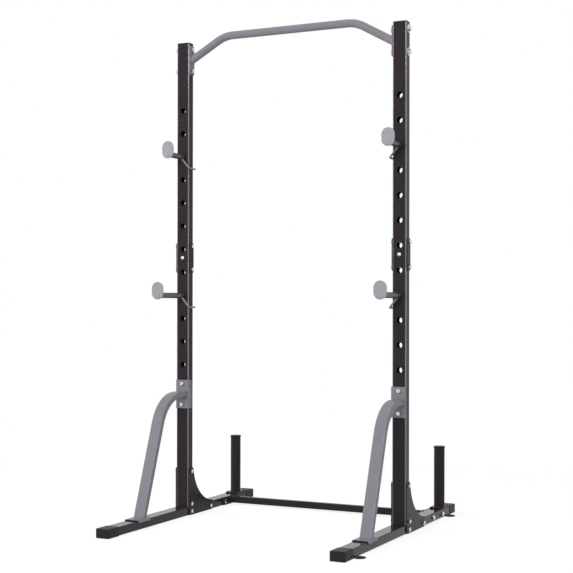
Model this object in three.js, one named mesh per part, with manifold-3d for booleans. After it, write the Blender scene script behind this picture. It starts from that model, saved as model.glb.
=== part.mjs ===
// A half rack for barbell training: two slotted uprights on long base tubes, joined by a
// crossbar near the floor and a raised pull-up bar at the top, with raked front braces,
// two short bar catches, two long safety spotters and two posts that store weight plates.
//
// Millimetres. X runs to the lifter's right, Y runs to the back and Z runs up.
// The floor is Z = 0 and the front faces of both uprights lie on Y = 0.

import * as THREE from "three";
import { mergeVertices } from "three/addons/utils/BufferGeometryUtils.js";
import Module from "manifold-3d";

const wasm = await Module();
wasm.setup();

// Fits and cuts
const fitGap = 0.3; // air left between two pieces that are bolted or pushed together
const overrun = 6; // every drill and saw cut runs this far past the metal
const drillClearance = 0.7; // bolt holes are this much wider than the bolt

// How finely round work is divided
const steps = { corner: 2, bore: 1, hole: 12, drill: 8, dome: 10, pipe: 14, wire: 8, bend: 4, sweep: 8 };

// The tube of the uprights and of the base is equally wide, so that one gusset lies flat on both
const tubeWidth = 60;
const halfWidth = tubeWidth / 2;
const plateFace = halfWidth + fitGap;

// The two long tubes that lie on the floor, held off it by their shoes
const footCap = { span: 70, wall: 1.5, end: 3, corner: 5, ribs: 5, ribDepth: 2 };
const ribWidthShare = 0.1; // of the cap's width
const ribHeightShare = 0.78; // of the cap's height
const base = { span: 1240, width: tubeWidth, height: 36, wall: 2.5, corner: 4 };
const baseBottom = footCap.wall + fitGap;
const baseTop = baseBottom + base.height;
const baseMiddle = baseBottom + base.height / 2;
const capFace = base.span / 2 - footCap.ribDepth;
const capMouth = capFace - footCap.end - footCap.span;

// Round ears under the outer sides of the base tubes, placed from the ends of the tubes
const floorEar = { radius: 25, thickness: 3, overhang: 11, hole: 12 };
const earInset = { front: 109, rear: 106 };
const earPlaces = [earInset.front - base.span / 2, base.span / 2 - earInset.rear];

// The uprights, each bolted together from a lower and an upper length of the same tube
const upright = { spacing: 1018, width: tubeWidth, depth: 40, wall: 2.5, corner: 4, top: 2078 };
const halfSpacing = upright.spacing / 2;
const uprightMiddle = upright.depth / 2;
const topCap = { thickness: 4, bevel: 1.5, plugDepth: 18, plugWall: 2 };

// The pin holes, counted from the highest, which lies this far below the upright's top
const pinHole = { diameter: 26, pitch: 101.6, drop: 296, count: 12 };
const holeHeight = (index) => upright.top - pinHole.drop - index * pinHole.pitch;
const catchHoleIndex = 2;
const seamHoleIndex = 6;
const spotterHoleIndex = 8;

// The seam lies below one of the pin holes, and the splice plates are centred above the seam
const seamDrop = 52.4;
const seamHeight = holeHeight(seamHoleIndex) - seamDrop;
const splice = { rise: 15, plateWidth: 34, plateHeight: 132, thickness: 4.5, corner: 8, boltInset: 15 };
const spliceMiddle = seamHeight + splice.rise;
const spliceBolts = boltPair(spliceMiddle, splice.plateHeight, splice.boltInset);

// Plates that stiffen the foot of each upright, cut away along a curve from the upright's rear
// face down to the plate's rear end
const gusset = { rise: 210, run: 212, thickness: 4, bottom: 2, corner: 6, rearHeight: 44.5 };
const gussetCurveRadius = 188;
const gussetBoltInset = { top: 15, rear: 21, overBase: 14.2 };
const gussetBolts = [
  { name: "top", back: uprightMiddle, up: gusset.rise - gussetBoltInset.top },
  { name: "middle", back: uprightMiddle, up: baseTop + gussetBoltInset.overBase },
  { name: "foot", back: uprightMiddle, up: baseMiddle },
  { name: "rear", back: gusset.run - gussetBoltInset.rear, up: baseMiddle },
];

// The raked braces between the uprights and the front of the base tubes
const brace = { width: 50, thickness: 25, wall: 2, corner: 4, bendRadius: 167.5, head: 535 };
const braceLine = { foot: -342.5, knee: -162.5 };
const bracket = { height: 125, thickness: 4, flange: 22, boltInset: 17 };
const bracketBolts = boltPair(brace.head, bracket.height, bracket.boltInset);

// The folded sheet at the foot of a brace, and the packing under it
const saddle = { ahead: 62.5, behind: 25.5, thickness: 3.2, lip: 6, vent: 12 };
const packing = { thickness: 2.4, lip: 8 };

// The crossbar between the base tubes, set back from midway between gusset and rear shoe
const crossbar = { depth: 25, height: 30, wall: 2.5, corner: 4, setback: 7.5, lift: 2.5 };
const crossbarBack = (gusset.run + capMouth) / 2 + crossbar.setback;
const crossPlate = { span: 150, thickness: 5, corner: 6, boltInset: 15, vent: 12 };
const crossBolts = boltPair(0, crossPlate.span, crossPlate.boltInset);

// The pull-up bar, cranked up between two bends from plates on the inner sides of the uprights
const pullUp = { diameter: 34, wall: 3, rise: 93, crank: 200, bendRadius: 150 };
const pullUpPlate = { height: 128, thickness: 5, corner: 8, drop: 73, boltInset: 17, vent: 12 };
const pullUpMiddle = upright.top - pullUpPlate.drop;
const pullUpBolts = boltPair(0, pullUpPlate.height, pullUpPlate.boltInset);

// The posts that store weight plates, each just ahead of a rear shoe
const post = { diameter: 47, wall: 3, top: 300, clearOfShoe: 2 };
const postPlate = { span: 96, thickness: 5, corner: 6 };
const postBack = capMouth - post.clearOfShoe - postPlate.span / 2;
const postScrew = { head: 9, height: 3.5, sideInset: 10, endInset: 7 };
const postCap = { rim: 1.2, height: 8, bevel: 2, plugDepth: 16, plugWall: 2 };

// The pins that carry the barbell: a rod, an oval end plate and a bent locking wire, which
// also clears a splice plate
const pinPlay = 2;
const pin = { diameter: pinHole.diameter - pinPlay, tail: 7, chamfer: 2, proud: 1.5 };
const pinSag = pinPlay / 2 - fitGap;
const oval = { width: 56, height: 75, thickness: 5, lift: 19.5 };
const lockWire = { diameter: 8, ahead: 9, drop: 51, tail: 1, bendRadius: 9 };
const wireSide = plateFace + splice.thickness + fitGap + lockWire.diameter / 2;
const catchReach = 128.5;
const spotterReach = 210;

// Bolts
const hexSides = 6;
const hexagon = { sides: hexSides, nutHeight: 8, washer: 0 };
const frameBolt = { ...hexagon, diameter: 10, head: 18, headHeight: 6, nut: 19 };
const domeBolt = { ...frameBolt, head: 17, headHeight: 5, sides: steps.dome };
const barBolt = { ...frameBolt, diameter: 12, head: 21, headHeight: 7, nut: 25, washer: 33 };
const washerThickness = 2;
const boltTail = 2.5;
const crownShare = 0.6; // of a bolt head's radius, left flat on its top
const skirtShare = 0.6; // of a bolt head's height, left straight at its side

// The two places of a pair of bolts, each set in from one end of a plate
function boltPair(middle, plateSpan, inset) {
  const half = plateSpan / 2 - inset;
  return [middle + half, middle - half];
}

// Surfaces
const finish = (color, roughness, metalness) => ({ color, roughness, metalness });
const finishes = {
  black: finish(0x37353a, 0.35, 0.3),
  silver: finish(0x8d8b91, 0.42, 0.55),
  pale: finish(0xa7a3a8, 0.4, 0.5),
  zinc: finish(0xc4c6c9, 0.28, 0.9),
  plastic: finish(0x2c2a2d, 0.6, 0),
};
const material = (kind) => new THREE.MeshStandardMaterial(finishes[kind]);

// Turns a closed three.js geometry into a solid that can be cut and joined
function solid(geometry) {
  const bare = geometry.index ? geometry.toNonIndexed() : geometry.clone();
  for (const extra of Object.keys(bare.attributes)) {
    if (extra !== "position") bare.deleteAttribute(extra);
  }
  const merged = mergeVertices(bare);
  const corners = merged.index.array;
  const kept = [];
  for (let i = 0; i < corners.length; i += 3) {
    const [a, b, c] = [corners[i], corners[i + 1], corners[i + 2]];
    if (a !== b && b !== c && c !== a) kept.push(a, b, c);
  }
  const vertProperties = Float32Array.from(merged.attributes.position.array);
  if (signedVolume(vertProperties, kept) < 0) {
    for (let i = 0; i < kept.length; i += 3) [kept[i], kept[i + 1]] = [kept[i + 1], kept[i]];
  }
  const triVerts = Uint32Array.from(kept);
  return new wasm.Manifold(new wasm.Mesh({ numProp: 3, vertProperties, triVerts }));
}

// Six times the volume inside a triangle list, negative where its faces look inward
function signedVolume(positions, corners) {
  const [a, b, c] = [new THREE.Vector3(), new THREE.Vector3(), new THREE.Vector3()];
  let sum = 0;
  for (let i = 0; i < corners.length; i += 3) {
    a.fromArray(positions, 3 * corners[i]);
    b.fromArray(positions, 3 * corners[i + 1]);
    c.fromArray(positions, 3 * corners[i + 2]);
    sum += a.dot(b.cross(c));
  }
  return sum;
}

// Gives a finished solid its name and surface, ready to be placed
function piece(name, body, kind) {
  const { vertProperties, triVerts } = body.getMesh();
  const geometry = new THREE.BufferGeometry();
  geometry.setAttribute("position", new THREE.BufferAttribute(Float32Array.from(vertProperties), 3));
  geometry.setIndex(new THREE.BufferAttribute(Uint32Array.from(triVerts), 1));
  geometry.computeVertexNormals();
  const mesh = new THREE.Mesh(geometry, material(kind));
  mesh.name = name;
  return mesh;
}

// Points along part of a circle
function arc(x, y, radius, from, to, count) {
  return new THREE.EllipseCurve(x, y, radius, radius, from, to, to < from).getPoints(count);
}

// A rectangle about the origin with round corners
function roundedRectangle(width, height, radius, count = steps.corner) {
  const [x, y] = [width / 2 - radius, height / 2 - radius];
  const quarter = Math.PI / 2;
  return new THREE.Shape([
    ...arc(x, y, radius, 0, quarter, count),
    ...arc(-x, y, radius, quarter, 2 * quarter, count),
    ...arc(-x, -y, radius, 2 * quarter, 3 * quarter, count),
    ...arc(x, -y, radius, 3 * quarter, 4 * quarter, count),
  ]);
}

// The wall of a rectangular tube, seen end on
function tubeSection({ width, height, corner, wall }) {
  const shape = roundedRectangle(width, height, corner);
  const bore = roundedRectangle(width - 2 * wall, height - 2 * wall, corner - wall, steps.bore);
  shape.holes.push(new THREE.Path(bore.getPoints()));
  return shape;
}

// A ring seen end on
function ringSection(diameter, wall, count) {
  const ring = new THREE.Shape(arc(0, 0, diameter / 2, 0, 2 * Math.PI, count).slice(1));
  const bore = arc(0, 0, diameter / 2 - wall, 0, 2 * Math.PI, count).slice(1);
  ring.holes.push(new THREE.Path(bore));
  return ring;
}

// Extrudes a shape along Z from Z = 0
function extrude(shape, depth, settings = {}) {
  return new THREE.ExtrudeGeometry(shape, { depth, bevelEnabled: false, ...settings });
}

// Lays an extrusion that was drawn flat against the side of the rack: its own X and Y
// become back and up, and its depth runs along X
function againstSide(geometry) {
  const [back, up, across] = [
    new THREE.Vector3(0, 1, 0),
    new THREE.Vector3(0, 0, 1),
    new THREE.Vector3(1, 0, 0),
  ];
  return geometry.applyMatrix4(new THREE.Matrix4().makeBasis(back, up, across));
}

// Stands an extrusion up to face the front: its depth then runs along -Y
function facingFront(geometry) {
  return geometry.rotateX(Math.PI / 2);
}

// A round bar centred on the origin, along the axis named
function roundBar(diameter, length, axis, count) {
  const bar = new THREE.CylinderGeometry(diameter / 2, diameter / 2, length, count);
  if (axis === "x") bar.rotateZ(Math.PI / 2);
  if (axis === "z") bar.rotateX(Math.PI / 2);
  return solid(bar);
}

// A drill that makes a bolt hole in anything up to the given thickness
function drill(bolt, thickness, axis) {
  const length = thickness + 2 * overrun;
  return roundBar(bolt.diameter + drillClearance, length, axis, steps.drill);
}

// Straight lengths joined by round bends, as a pipe bender makes them
class PipeRun extends THREE.Curve {
  constructor(corners, bendRadius) {
    super();
    this.stations = [];
    const last = corners.length - 1;
    const heading = (i) => corners[i + 1].clone().sub(corners[i]).normalize();
    this.stations.push({ point: corners[0], tangent: heading(0) });
    for (let i = 1; i < last; i++) this.addBend(corners[i], heading(i - 1), heading(i), bendRadius);
    this.stations.push({ point: corners[last], tangent: heading(last - 1) });
  }

  addBend(corner, inward, outward, radius) {
    const turn = inward.angleTo(outward);
    const toCentre = outward.clone().sub(inward).normalize();
    const centre = corner.clone().addScaledVector(toCentre, radius / Math.cos(turn / 2));
    const begin = corner.clone().addScaledVector(inward, -radius * Math.tan(turn / 2));
    const axis = inward.clone().cross(outward).normalize();
    for (let i = 0; i <= steps.bend; i++) {
      const angle = (turn * i) / steps.bend;
      const point = begin.clone().sub(centre).applyAxisAngle(axis, angle).add(centre);
      this.stations.push({ point, tangent: inward.clone().applyAxisAngle(axis, angle) });
    }
  }

  at(share) {
    return this.stations[Math.round(share * (this.stations.length - 1))];
  }

  getPointAt(share) {
    return this.at(share).point.clone();
  }

  getTangentAt(share) {
    return this.at(share).tangent.clone();
  }
}

// Sweeps a section along a run of pipe
function sweep(section, run) {
  return solid(extrude(section, 0, { steps: run.stations.length - 1, extrudePath: run }));
}

// A solid turned about the X axis, or a prism when it has few sides
function turned(profile, sides) {
  const points = profile.map(([radius, along]) => new THREE.Vector2(radius, along));
  return solid(new THREE.LatheGeometry(points, sides).rotateZ(-Math.PI / 2));
}

// A bolt along X, its head's underside at X = 0, with its nut past the grip
function boltBody(size, grip) {
  const [shank, head, nut, ring] = [size.diameter, size.head, size.nut, size.washer].map((d) => d / 2);
  const nutStart = grip + (ring > 0 ? washerThickness : 0);
  const nutEnd = nutStart + size.nutHeight;
  const end = nutEnd + boltTail;
  const top = [[0, -size.headHeight], [head * crownShare, -size.headHeight]];
  const side = [[head, -size.headHeight * skirtShare], [head, 0], [0, 0]];
  let body = turned([...top, ...side], size.sides);
  body = body.add(turned([[0, -fitGap], [shank, -fitGap], [shank, end], [0, end]], steps.drill));
  body = body.add(turned([[0, nutStart], [nut, nutStart], [nut, nutEnd], [0, nutEnd]], hexSides));
  if (ring === 0) return body;
  return body.add(turned([[0, grip], [ring, grip], [ring, nutStart], [0, nutStart]], steps.dome));
}

// A bolt through the side of the rack, head toward the middle and nut outside. `inner` is
// +1 on the left side and -1 on the right, pointing at the middle of the rack.
function sideBolt(name, size, inner, headFace, nutFace, back, up) {
  const mesh = piece(name, boltBody(size, headFace + nutFace), "zinc");
  mesh.rotation.z = inner > 0 ? Math.PI : 0;
  mesh.position.set(inner * headFace, back, up);
  return mesh;
}

// A bolt through an upright from the front
function frontBolt(name, size, headFace, up) {
  const mesh = piece(name, boltBody(size, headFace + upright.depth + fitGap), "zinc");
  mesh.rotation.z = Math.PI / 2;
  mesh.position.set(0, -headFace, up);
  return mesh;
}

// A long base tube with a round floor ear welded under each end of its outer side
function baseTube(side, inner) {
  const reach = 2 * (capFace - footCap.end - fitGap);
  const tube = facingFront(extrude(tubeSection(base), reach).translate(0, 0, -reach / 2));
  let body = solid(tube);
  for (const back of earPlaces) {
    const out = halfWidth + floorEar.overhang;
    const place = [-inner * out, back, floorEar.thickness / 2 - baseMiddle];
    const ear = roundBar(2 * floorEar.radius, floorEar.thickness, "z", steps.pipe);
    const eye = roundBar(floorEar.hole, floorEar.thickness + overrun, "z", steps.dome);
    body = body.add(ear.translate(place)).subtract(eye.translate(place));
  }
  const footBolts = gussetBolts.filter(({ up }) => up === baseMiddle).map(({ back }) => back);
  const drilled = [...footBolts, ...crossBolts.map((offset) => crossbarBack + offset)];
  for (const back of drilled) {
    body = body.subtract(drill(frameBolt, base.width, "x").translate([0, back, 0]));
  }
  const mesh = piece(`base_tube_${side}`, body, "black");
  mesh.position.z = baseMiddle;
  return mesh;
}

// A ribbed shoe that slips over one end of a base tube and stands on the floor
function footShoe(end, side) {
  const width = base.width + 2 * (footCap.wall + fitGap);
  const height = base.height + 2 * (footCap.wall + fitGap);
  const room = roundedRectangle(base.width + 2 * fitGap, base.height + 2 * fitGap, base.corner);
  const outside = roundedRectangle(width, height, footCap.corner);
  const depth = footCap.span + footCap.end;
  let body = solid(facingFront(extrude(outside, depth)).translate(0, depth, 0));
  const hollow = facingFront(extrude(room, footCap.span + overrun));
  body = body.subtract(solid(hollow.translate(0, depth + overrun, 0)));
  const pitch = (width - 2 * footCap.corner) / footCap.ribs;
  for (let i = 0; i < footCap.ribs; i++) {
    const across = (i - (footCap.ribs - 1) / 2) * pitch;
    const ribDepth = footCap.ribDepth + footCap.end / 2;
    const rib = new THREE.BoxGeometry(width * ribWidthShare, ribDepth, height * ribHeightShare);
    rib.translate(across, ribDepth / 2 - footCap.ribDepth, 0);
    body = body.add(solid(rib));
  }
  const mesh = piece(`foot_cap_${end}_${side}`, body, "plastic");
  mesh.rotation.z = end === "front" ? 0 : Math.PI;
  mesh.position.set(0, end === "front" ? -capFace : capFace, baseMiddle);
  return mesh;
}

// One length of upright tube between two heights, with the pin holes and bolt holes that fall
// on it
function uprightLength(name, from, to) {
  const section = tubeSection({ ...upright, height: upright.depth });
  let body = solid(extrude(section, to - from).translate(0, 0, from));
  const punch = roundBar(pinHole.diameter, upright.depth + 2 * overrun, "y", steps.hole);
  for (let index = 0; index < pinHole.count; index++) {
    body = body.subtract(punch.translate([0, 0, holeHeight(index)]));
  }
  const footBolts = gussetBolts.filter(({ back }) => back === uprightMiddle).map(({ up }) => up);
  for (const height of [...spliceBolts, ...footBolts]) {
    body = body.subtract(drill(frameBolt, upright.width, "x").translate([0, 0, height]));
  }
  for (const offset of pullUpBolts) {
    body = body.subtract(drill(barBolt, upright.width, "x").translate([0, 0, pullUpMiddle + offset]));
  }
  for (const height of [spliceMiddle, ...bracketBolts]) {
    body = body.subtract(drill(frameBolt, upright.depth, "y").translate([0, 0, height]));
  }
  const mesh = piece(name, body, "black");
  mesh.position.y = uprightMiddle;
  return mesh;
}

// A lid with a bevelled rim and a hollow plug that sits inside the tube below it
function lid(rimShape, plugShape, thickness, bevel, plugDepth) {
  const rim = extrude(rimShape, thickness - bevel, {
    bevelEnabled: true,
    bevelThickness: bevel,
    bevelSize: bevel,
    bevelOffset: -bevel,
    bevelSegments: 1,
  });
  const trim = new THREE.BoxGeometry(2 * upright.width, 2 * upright.width, 2 * bevel);
  const plug = extrude(plugShape, plugDepth + bevel / 2).translate(0, 0, -plugDepth);
  return solid(rim).subtract(solid(trim.translate(0, 0, -bevel))).add(solid(plug));
}

// The plastic lid of an upright
function uprightCap(side) {
  const inset = 2 * (upright.wall + fitGap);
  const [width, depth] = [upright.width - inset, upright.depth - inset];
  const plug = tubeSection({ width, height: depth, corner: upright.corner, wall: topCap.plugWall });
  const rim = roundedRectangle(upright.width, upright.depth, upright.corner);
  const body = lid(rim, plug, topCap.thickness, topCap.bevel, topCap.plugDepth);
  const mesh = piece(`upright_cap_${side}`, body, "plastic");
  mesh.position.set(0, uprightMiddle, upright.top + fitGap);
  return mesh;
}

// A plate that bridges the seam between the two lengths of an upright
function splicePlate(name, faceSide) {
  const shape = roundedRectangle(splice.plateWidth, splice.plateHeight, splice.corner);
  let body = solid(againstSide(extrude(shape, splice.thickness)));
  for (const height of spliceBolts) {
    const place = [0, 0, height - spliceMiddle];
    body = body.subtract(drill(frameBolt, splice.thickness, "x").translate(place));
  }
  const mesh = piece(name, body, "black");
  const face = faceSide > 0 ? plateFace : -plateFace - splice.thickness;
  mesh.position.set(face, uprightMiddle, spliceMiddle);
  return mesh;
}

// Points of the curve of a given radius that sags between two points, from the first one on
function hollowCurve(from, to, radius) {
  const half = to.clone().sub(from).divideScalar(2);
  const height = Math.sqrt(radius ** 2 - half.lengthSq());
  const square = new THREE.Vector2(-half.y, half.x).setLength(height);
  const centre = from.clone().add(half).add(square);
  const turnTo = (point) => Math.atan2(point.y - centre.y, point.x - centre.x) + 2 * Math.PI;
  return arc(centre.x, centre.y, radius, turnTo(from), turnTo(to), steps.sweep);
}

// A gusset with a hollow curve between its tall edge and its long edge
function gussetPlate(name, faceSide) {
  const { corner, rise, run, bottom, rearHeight } = gusset;
  const shoulder = upright.depth;
  const quarter = Math.PI / 2;
  const [top, rear] = [new THREE.Vector2(shoulder, rise - corner), new THREE.Vector2(run, rearHeight)];
  const outline = new THREE.Shape([
    ...arc(corner, rise - corner, corner, 2 * quarter, quarter, steps.corner),
    ...arc(shoulder - corner, rise - corner, corner, quarter, 0, steps.corner).slice(0, -1),
    ...hollowCurve(top, rear, gussetCurveRadius),
    ...arc(run - corner, bottom + corner, corner, 0, -quarter, steps.corner),
    ...arc(corner, bottom + corner, corner, -quarter, -2 * quarter, steps.corner),
  ]);
  let body = solid(againstSide(extrude(outline, gusset.thickness)));
  for (const { back, up: height } of gussetBolts) {
    body = body.subtract(drill(frameBolt, gusset.thickness, "x").translate([0, back, height]));
  }
  const mesh = piece(name, body, "black");
  mesh.position.x = faceSide > 0 ? plateFace : -plateFace - gusset.thickness;
  return mesh;
}

// A raked brace: a bent rectangular tube welded to a bracket that wraps the front and the
// inner side of the upright, and to a flat plate on the base tube
function frontBrace(side, inner) {
  const plateTop = baseTop + 2 * fitGap + packing.thickness + saddle.thickness;
  const faceBack = -fitGap - bracket.thickness;
  const rake = new THREE.Vector3(0, braceLine.foot - braceLine.knee, plateTop - brace.head);
  const foot = new THREE.Vector3(0, braceLine.foot, plateTop).addScaledVector(
    rake.clone().normalize(),
    overrun + brace.thickness / 2,
  );
  const head = new THREE.Vector3(0, faceBack + bracket.thickness / 2, brace.head);
  const knee = new THREE.Vector3(0, braceLine.knee, brace.head);
  const section = tubeSection({ ...brace, width: brace.thickness, height: brace.width });
  let tube = sweep(section, new PipeRun([head, knee, foot], brace.bendRadius));
  const saw = new THREE.BoxGeometry(2 * brace.width, 4 * brace.thickness, 2 * brace.thickness);
  saw.translate(0, braceLine.foot, plateTop - saddle.thickness / 2 - brace.thickness);
  tube = tube.subtract(solid(saw));
  const body = tube.add(braceBracket(inner)).add(braceSaddle());
  return piece(`front_brace_${side}`, body, "silver");
}

// The bracket at the head of a brace
function braceBracket(inner) {
  const { thickness, flange, height } = bracket;
  const outside = plateFace + thickness;
  const quarter = Math.PI / 2;
  const front = -fitGap - thickness;
  const bend = thickness + fitGap;
  const profile = [
    new THREE.Vector2(-halfWidth, -fitGap),
    new THREE.Vector2(-halfWidth, front),
    ...arc(outside - bend, front + bend, bend, -quarter, 0, steps.corner),
    new THREE.Vector2(outside, flange),
    new THREE.Vector2(plateFace, flange),
    new THREE.Vector2(plateFace, -fitGap),
  ].map((point) => new THREE.Vector2(inner * point.x, point.y));
  let body = solid(extrude(new THREE.Shape(profile), height).translate(0, 0, -height / 2));
  for (const up of bracketBolts) {
    const place = [0, front, up - brace.head];
    body = body.subtract(drill(frameBolt, bracket.thickness, "y").translate(place));
  }
  return body.translate([0, 0, brace.head]);
}

// Sheet folded over the top and both sides of a base tube, `clear` of its surface
function foldedOver(clear, thickness, lip) {
  const bend = base.corner + clear;
  const outside = bend + thickness;
  const [x, z] = [halfWidth - base.corner, baseTop - base.corner];
  const [bottom, quarter] = [baseTop - lip, Math.PI / 2];
  const fold = new THREE.Shape([
    new THREE.Vector2(x + outside, bottom),
    ...arc(x, z, outside, 0, quarter, steps.corner),
    ...arc(-x, z, outside, quarter, 2 * quarter, steps.corner),
    new THREE.Vector2(-x - outside, bottom),
    new THREE.Vector2(-x - bend, bottom),
    ...arc(-x, z, bend, 2 * quarter, quarter, steps.corner),
    ...arc(x, z, bend, quarter, 0, steps.corner),
    new THREE.Vector2(x + bend, bottom),
  ]);
  const sheet = facingFront(extrude(fold, saddle.ahead + saddle.behind));
  return solid(sheet.translate(0, braceLine.foot + saddle.behind, 0));
}

// The saddle at the foot of a brace, vented into the tube above it
function braceSaddle() {
  const clear = packing.thickness + 2 * fitGap;
  const vent = roundBar(saddle.vent, 2 * overrun, "z", steps.drill);
  const sheet = foldedOver(clear, saddle.thickness, saddle.lip);
  return sheet.subtract(vent.translate([0, braceLine.foot, baseTop + clear]));
}

// The dark packing between a brace's saddle and the base tube
function bracePacking(side) {
  return piece(`brace_packing_${side}`, foldedOver(fitGap, packing.thickness, packing.lip), "plastic");
}

// A post for weight plates, welded upright on a flat plate
function platePost(side) {
  const shape = roundedRectangle(base.width, postPlate.span, postPlate.corner);
  const bottom = baseTop + fitGap;
  const foot = bottom + postPlate.thickness;
  const ring = ringSection(post.diameter, post.wall, steps.pipe);
  const tube = extrude(ring, post.top - bottom - postPlate.thickness / 2);
  tube.translate(0, 0, bottom + postPlate.thickness / 2);
  const plate = extrude(shape, foot - bottom).translate(0, 0, bottom);
  let body = solid(plate).add(solid(tube));
  const halfAcross = base.width / 2 - postScrew.sideInset;
  const halfAlong = postPlate.span / 2 - postScrew.endInset;
  for (const [across, along] of [[-1, -1], [1, -1], [1, 1], [-1, 1]]) {
    const head = roundBar(postScrew.head, 2 * postScrew.height, "z", steps.drill);
    body = body.add(head.translate([across * halfAcross, along * halfAlong, foot]));
  }
  const mesh = piece(`plate_post_${side}`, body, "black");
  mesh.position.y = postBack;
  return mesh;
}

// The plastic lid of a post
function postLid(side) {
  const plugDiameter = post.diameter - 2 * (post.wall + fitGap);
  const plug = ringSection(plugDiameter, postCap.plugWall, steps.pipe);
  const outer = post.diameter / 2 + postCap.rim;
  const rim = new THREE.Shape(arc(0, 0, outer, 0, 2 * Math.PI, steps.pipe).slice(1));
  const body = lid(rim, plug, postCap.height, postCap.bevel, postCap.plugDepth);
  const mesh = piece(`post_cap_${side}`, body, "plastic");
  mesh.position.set(0, postBack, post.top + fitGap);
  return mesh;
}

// A pin with its oval stop plate and locking wire, pushed through a pin hole from the front
function barPin(name, inner, reach, height) {
  const [radius, tail] = [pin.diameter / 2, upright.depth + pin.tail];
  const tip = -reach - pin.proud;
  const sides = [[radius, tip], [radius, tail - pin.chamfer], [radius - pin.chamfer, tail]];
  const rod = turned([[0, tip], ...sides, [0, tail]], steps.hole).rotate([0, 0, 90]);
  const plate = facingFront(extrude(stadium(oval.width, oval.height), oval.thickness));
  plate.translate(0, oval.thickness - reach, oval.lift);
  const mesh = piece(name, rod.add(solid(plate)).add(lockingWire(inner)), "pale");
  mesh.position.z = height - pinSag;
  return mesh;
}

// An upright oval with straight sides
function stadium(width, height) {
  const [radius, straight] = [width / 2, (height - width) / 2];
  return new THREE.Shape([
    ...arc(0, straight, radius, 0, Math.PI, steps.sweep),
    ...arc(0, -straight, radius, Math.PI, 2 * Math.PI, steps.sweep),
  ]);
}

// The bent wire that hooks round the inner side of an upright and stops a pin from turning
function lockingWire(inner) {
  const { ahead, drop, tail, diameter, bendRadius } = lockWire;
  const root = new THREE.Vector3(0, -ahead, -pin.diameter / 4);
  const elbow = new THREE.Vector3(inner * wireSide, -ahead, -drop);
  const tip = new THREE.Vector3(inner * wireSide, upright.depth + tail, -drop);
  const circle = arc(0, 0, diameter / 2, 0, 2 * Math.PI, steps.wire).slice(1);
  return sweep(new THREE.Shape(circle), new PipeRun([root, elbow, tip], bendRadius));
}

// Everything that one side of the rack carries. `inner` points at the middle of the rack.
function rackSide(side, inner) {
  const group = new THREE.Group();
  group.add(
    baseTube(side, inner),
    footShoe("front", side),
    footShoe("rear", side),
    uprightLength(`lower_upright_${side}`, baseTop + fitGap, seamHeight),
    uprightLength(`upper_upright_${side}`, seamHeight + fitGap, upright.top),
    uprightCap(side),
    splicePlate(`splice_plate_inner_${side}`, inner),
    splicePlate(`splice_plate_outer_${side}`, -inner),
    gussetPlate(`gusset_inner_${side}`, inner),
    gussetPlate(`gusset_outer_${side}`, -inner),
    frontBrace(side, inner),
    bracePacking(side),
    platePost(side),
    postLid(side),
  );
  group.add(
    barPin(`bar_catch_${side}`, inner, catchReach, holeHeight(catchHoleIndex)),
    barPin(`safety_spotter_${side}`, inner, spotterReach, holeHeight(spotterHoleIndex)),
  );
  group.add(...sideBolts(side, inner), ...frontBolts(side));
  group.position.x = -inner * halfSpacing;
  return group;
}

// The bolts that run across one side of the rack
function sideBolts(side, inner) {
  const bolts = [];
  const overSplice = plateFace + splice.thickness + fitGap;
  for (const [i, place] of ["upper", "lower"].entries()) {
    const name = `splice_bolt_${place}_${side}`;
    const up = spliceBolts[i];
    bolts.push(sideBolt(name, frameBolt, inner, overSplice, overSplice, uprightMiddle, up));
  }
  const overGusset = plateFace + gusset.thickness + fitGap;
  for (const { name, back, up } of gussetBolts) {
    const label = `gusset_bolt_${name}_${side}`;
    bolts.push(sideBolt(label, frameBolt, inner, overGusset, overGusset, back, up));
  }
  const overCross = plateFace + crossPlate.thickness + fitGap;
  for (const [i, place] of ["rear", "front"].entries()) {
    const name = `crossbar_bolt_${place}_${side}`;
    const back = crossbarBack + crossBolts[i];
    bolts.push(sideBolt(name, frameBolt, inner, overCross, plateFace, back, baseMiddle));
  }
  const overPlate = plateFace + pullUpPlate.thickness + fitGap;
  for (const [i, place] of ["upper", "lower"].entries()) {
    const name = `pull_up_bolt_${place}_${side}`;
    const up = pullUpMiddle + pullUpBolts[i];
    bolts.push(sideBolt(name, barBolt, inner, overPlate, plateFace, uprightMiddle, up));
  }
  return bolts;
}

// The bolts that run from the front to the back of one upright
function frontBolts(side) {
  const overBracket = 2 * fitGap + bracket.thickness;
  const [upper, lower] = bracketBolts;
  return [
    frontBolt(`splice_bolt_front_${side}`, domeBolt, fitGap, spliceMiddle),
    frontBolt(`bracket_bolt_upper_${side}`, frameBolt, overBracket, upper),
    frontBolt(`bracket_bolt_lower_${side}`, frameBolt, overBracket, lower),
  ];
}

// An end plate of the crossbar or the pull-up bar, drilled for two bolts and vented
function endPlate(width, height, size, bolt, boltPlaces, sign, face) {
  const shape = roundedRectangle(width, height, size.corner);
  let plate = solid(againstSide(extrude(shape, size.thickness)));
  for (const [back, up] of boltPlaces) {
    plate = plate.subtract(drill(bolt, size.thickness, "x").translate([0, back, up]));
  }
  const vent = roundBar(size.vent, size.thickness + overrun, "x", steps.drill);
  plate = plate.subtract(vent.translate([size.thickness / 2, 0, 0]));
  return plate.translate([sign > 0 ? face - size.thickness : -face, 0, 0]);
}

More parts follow.
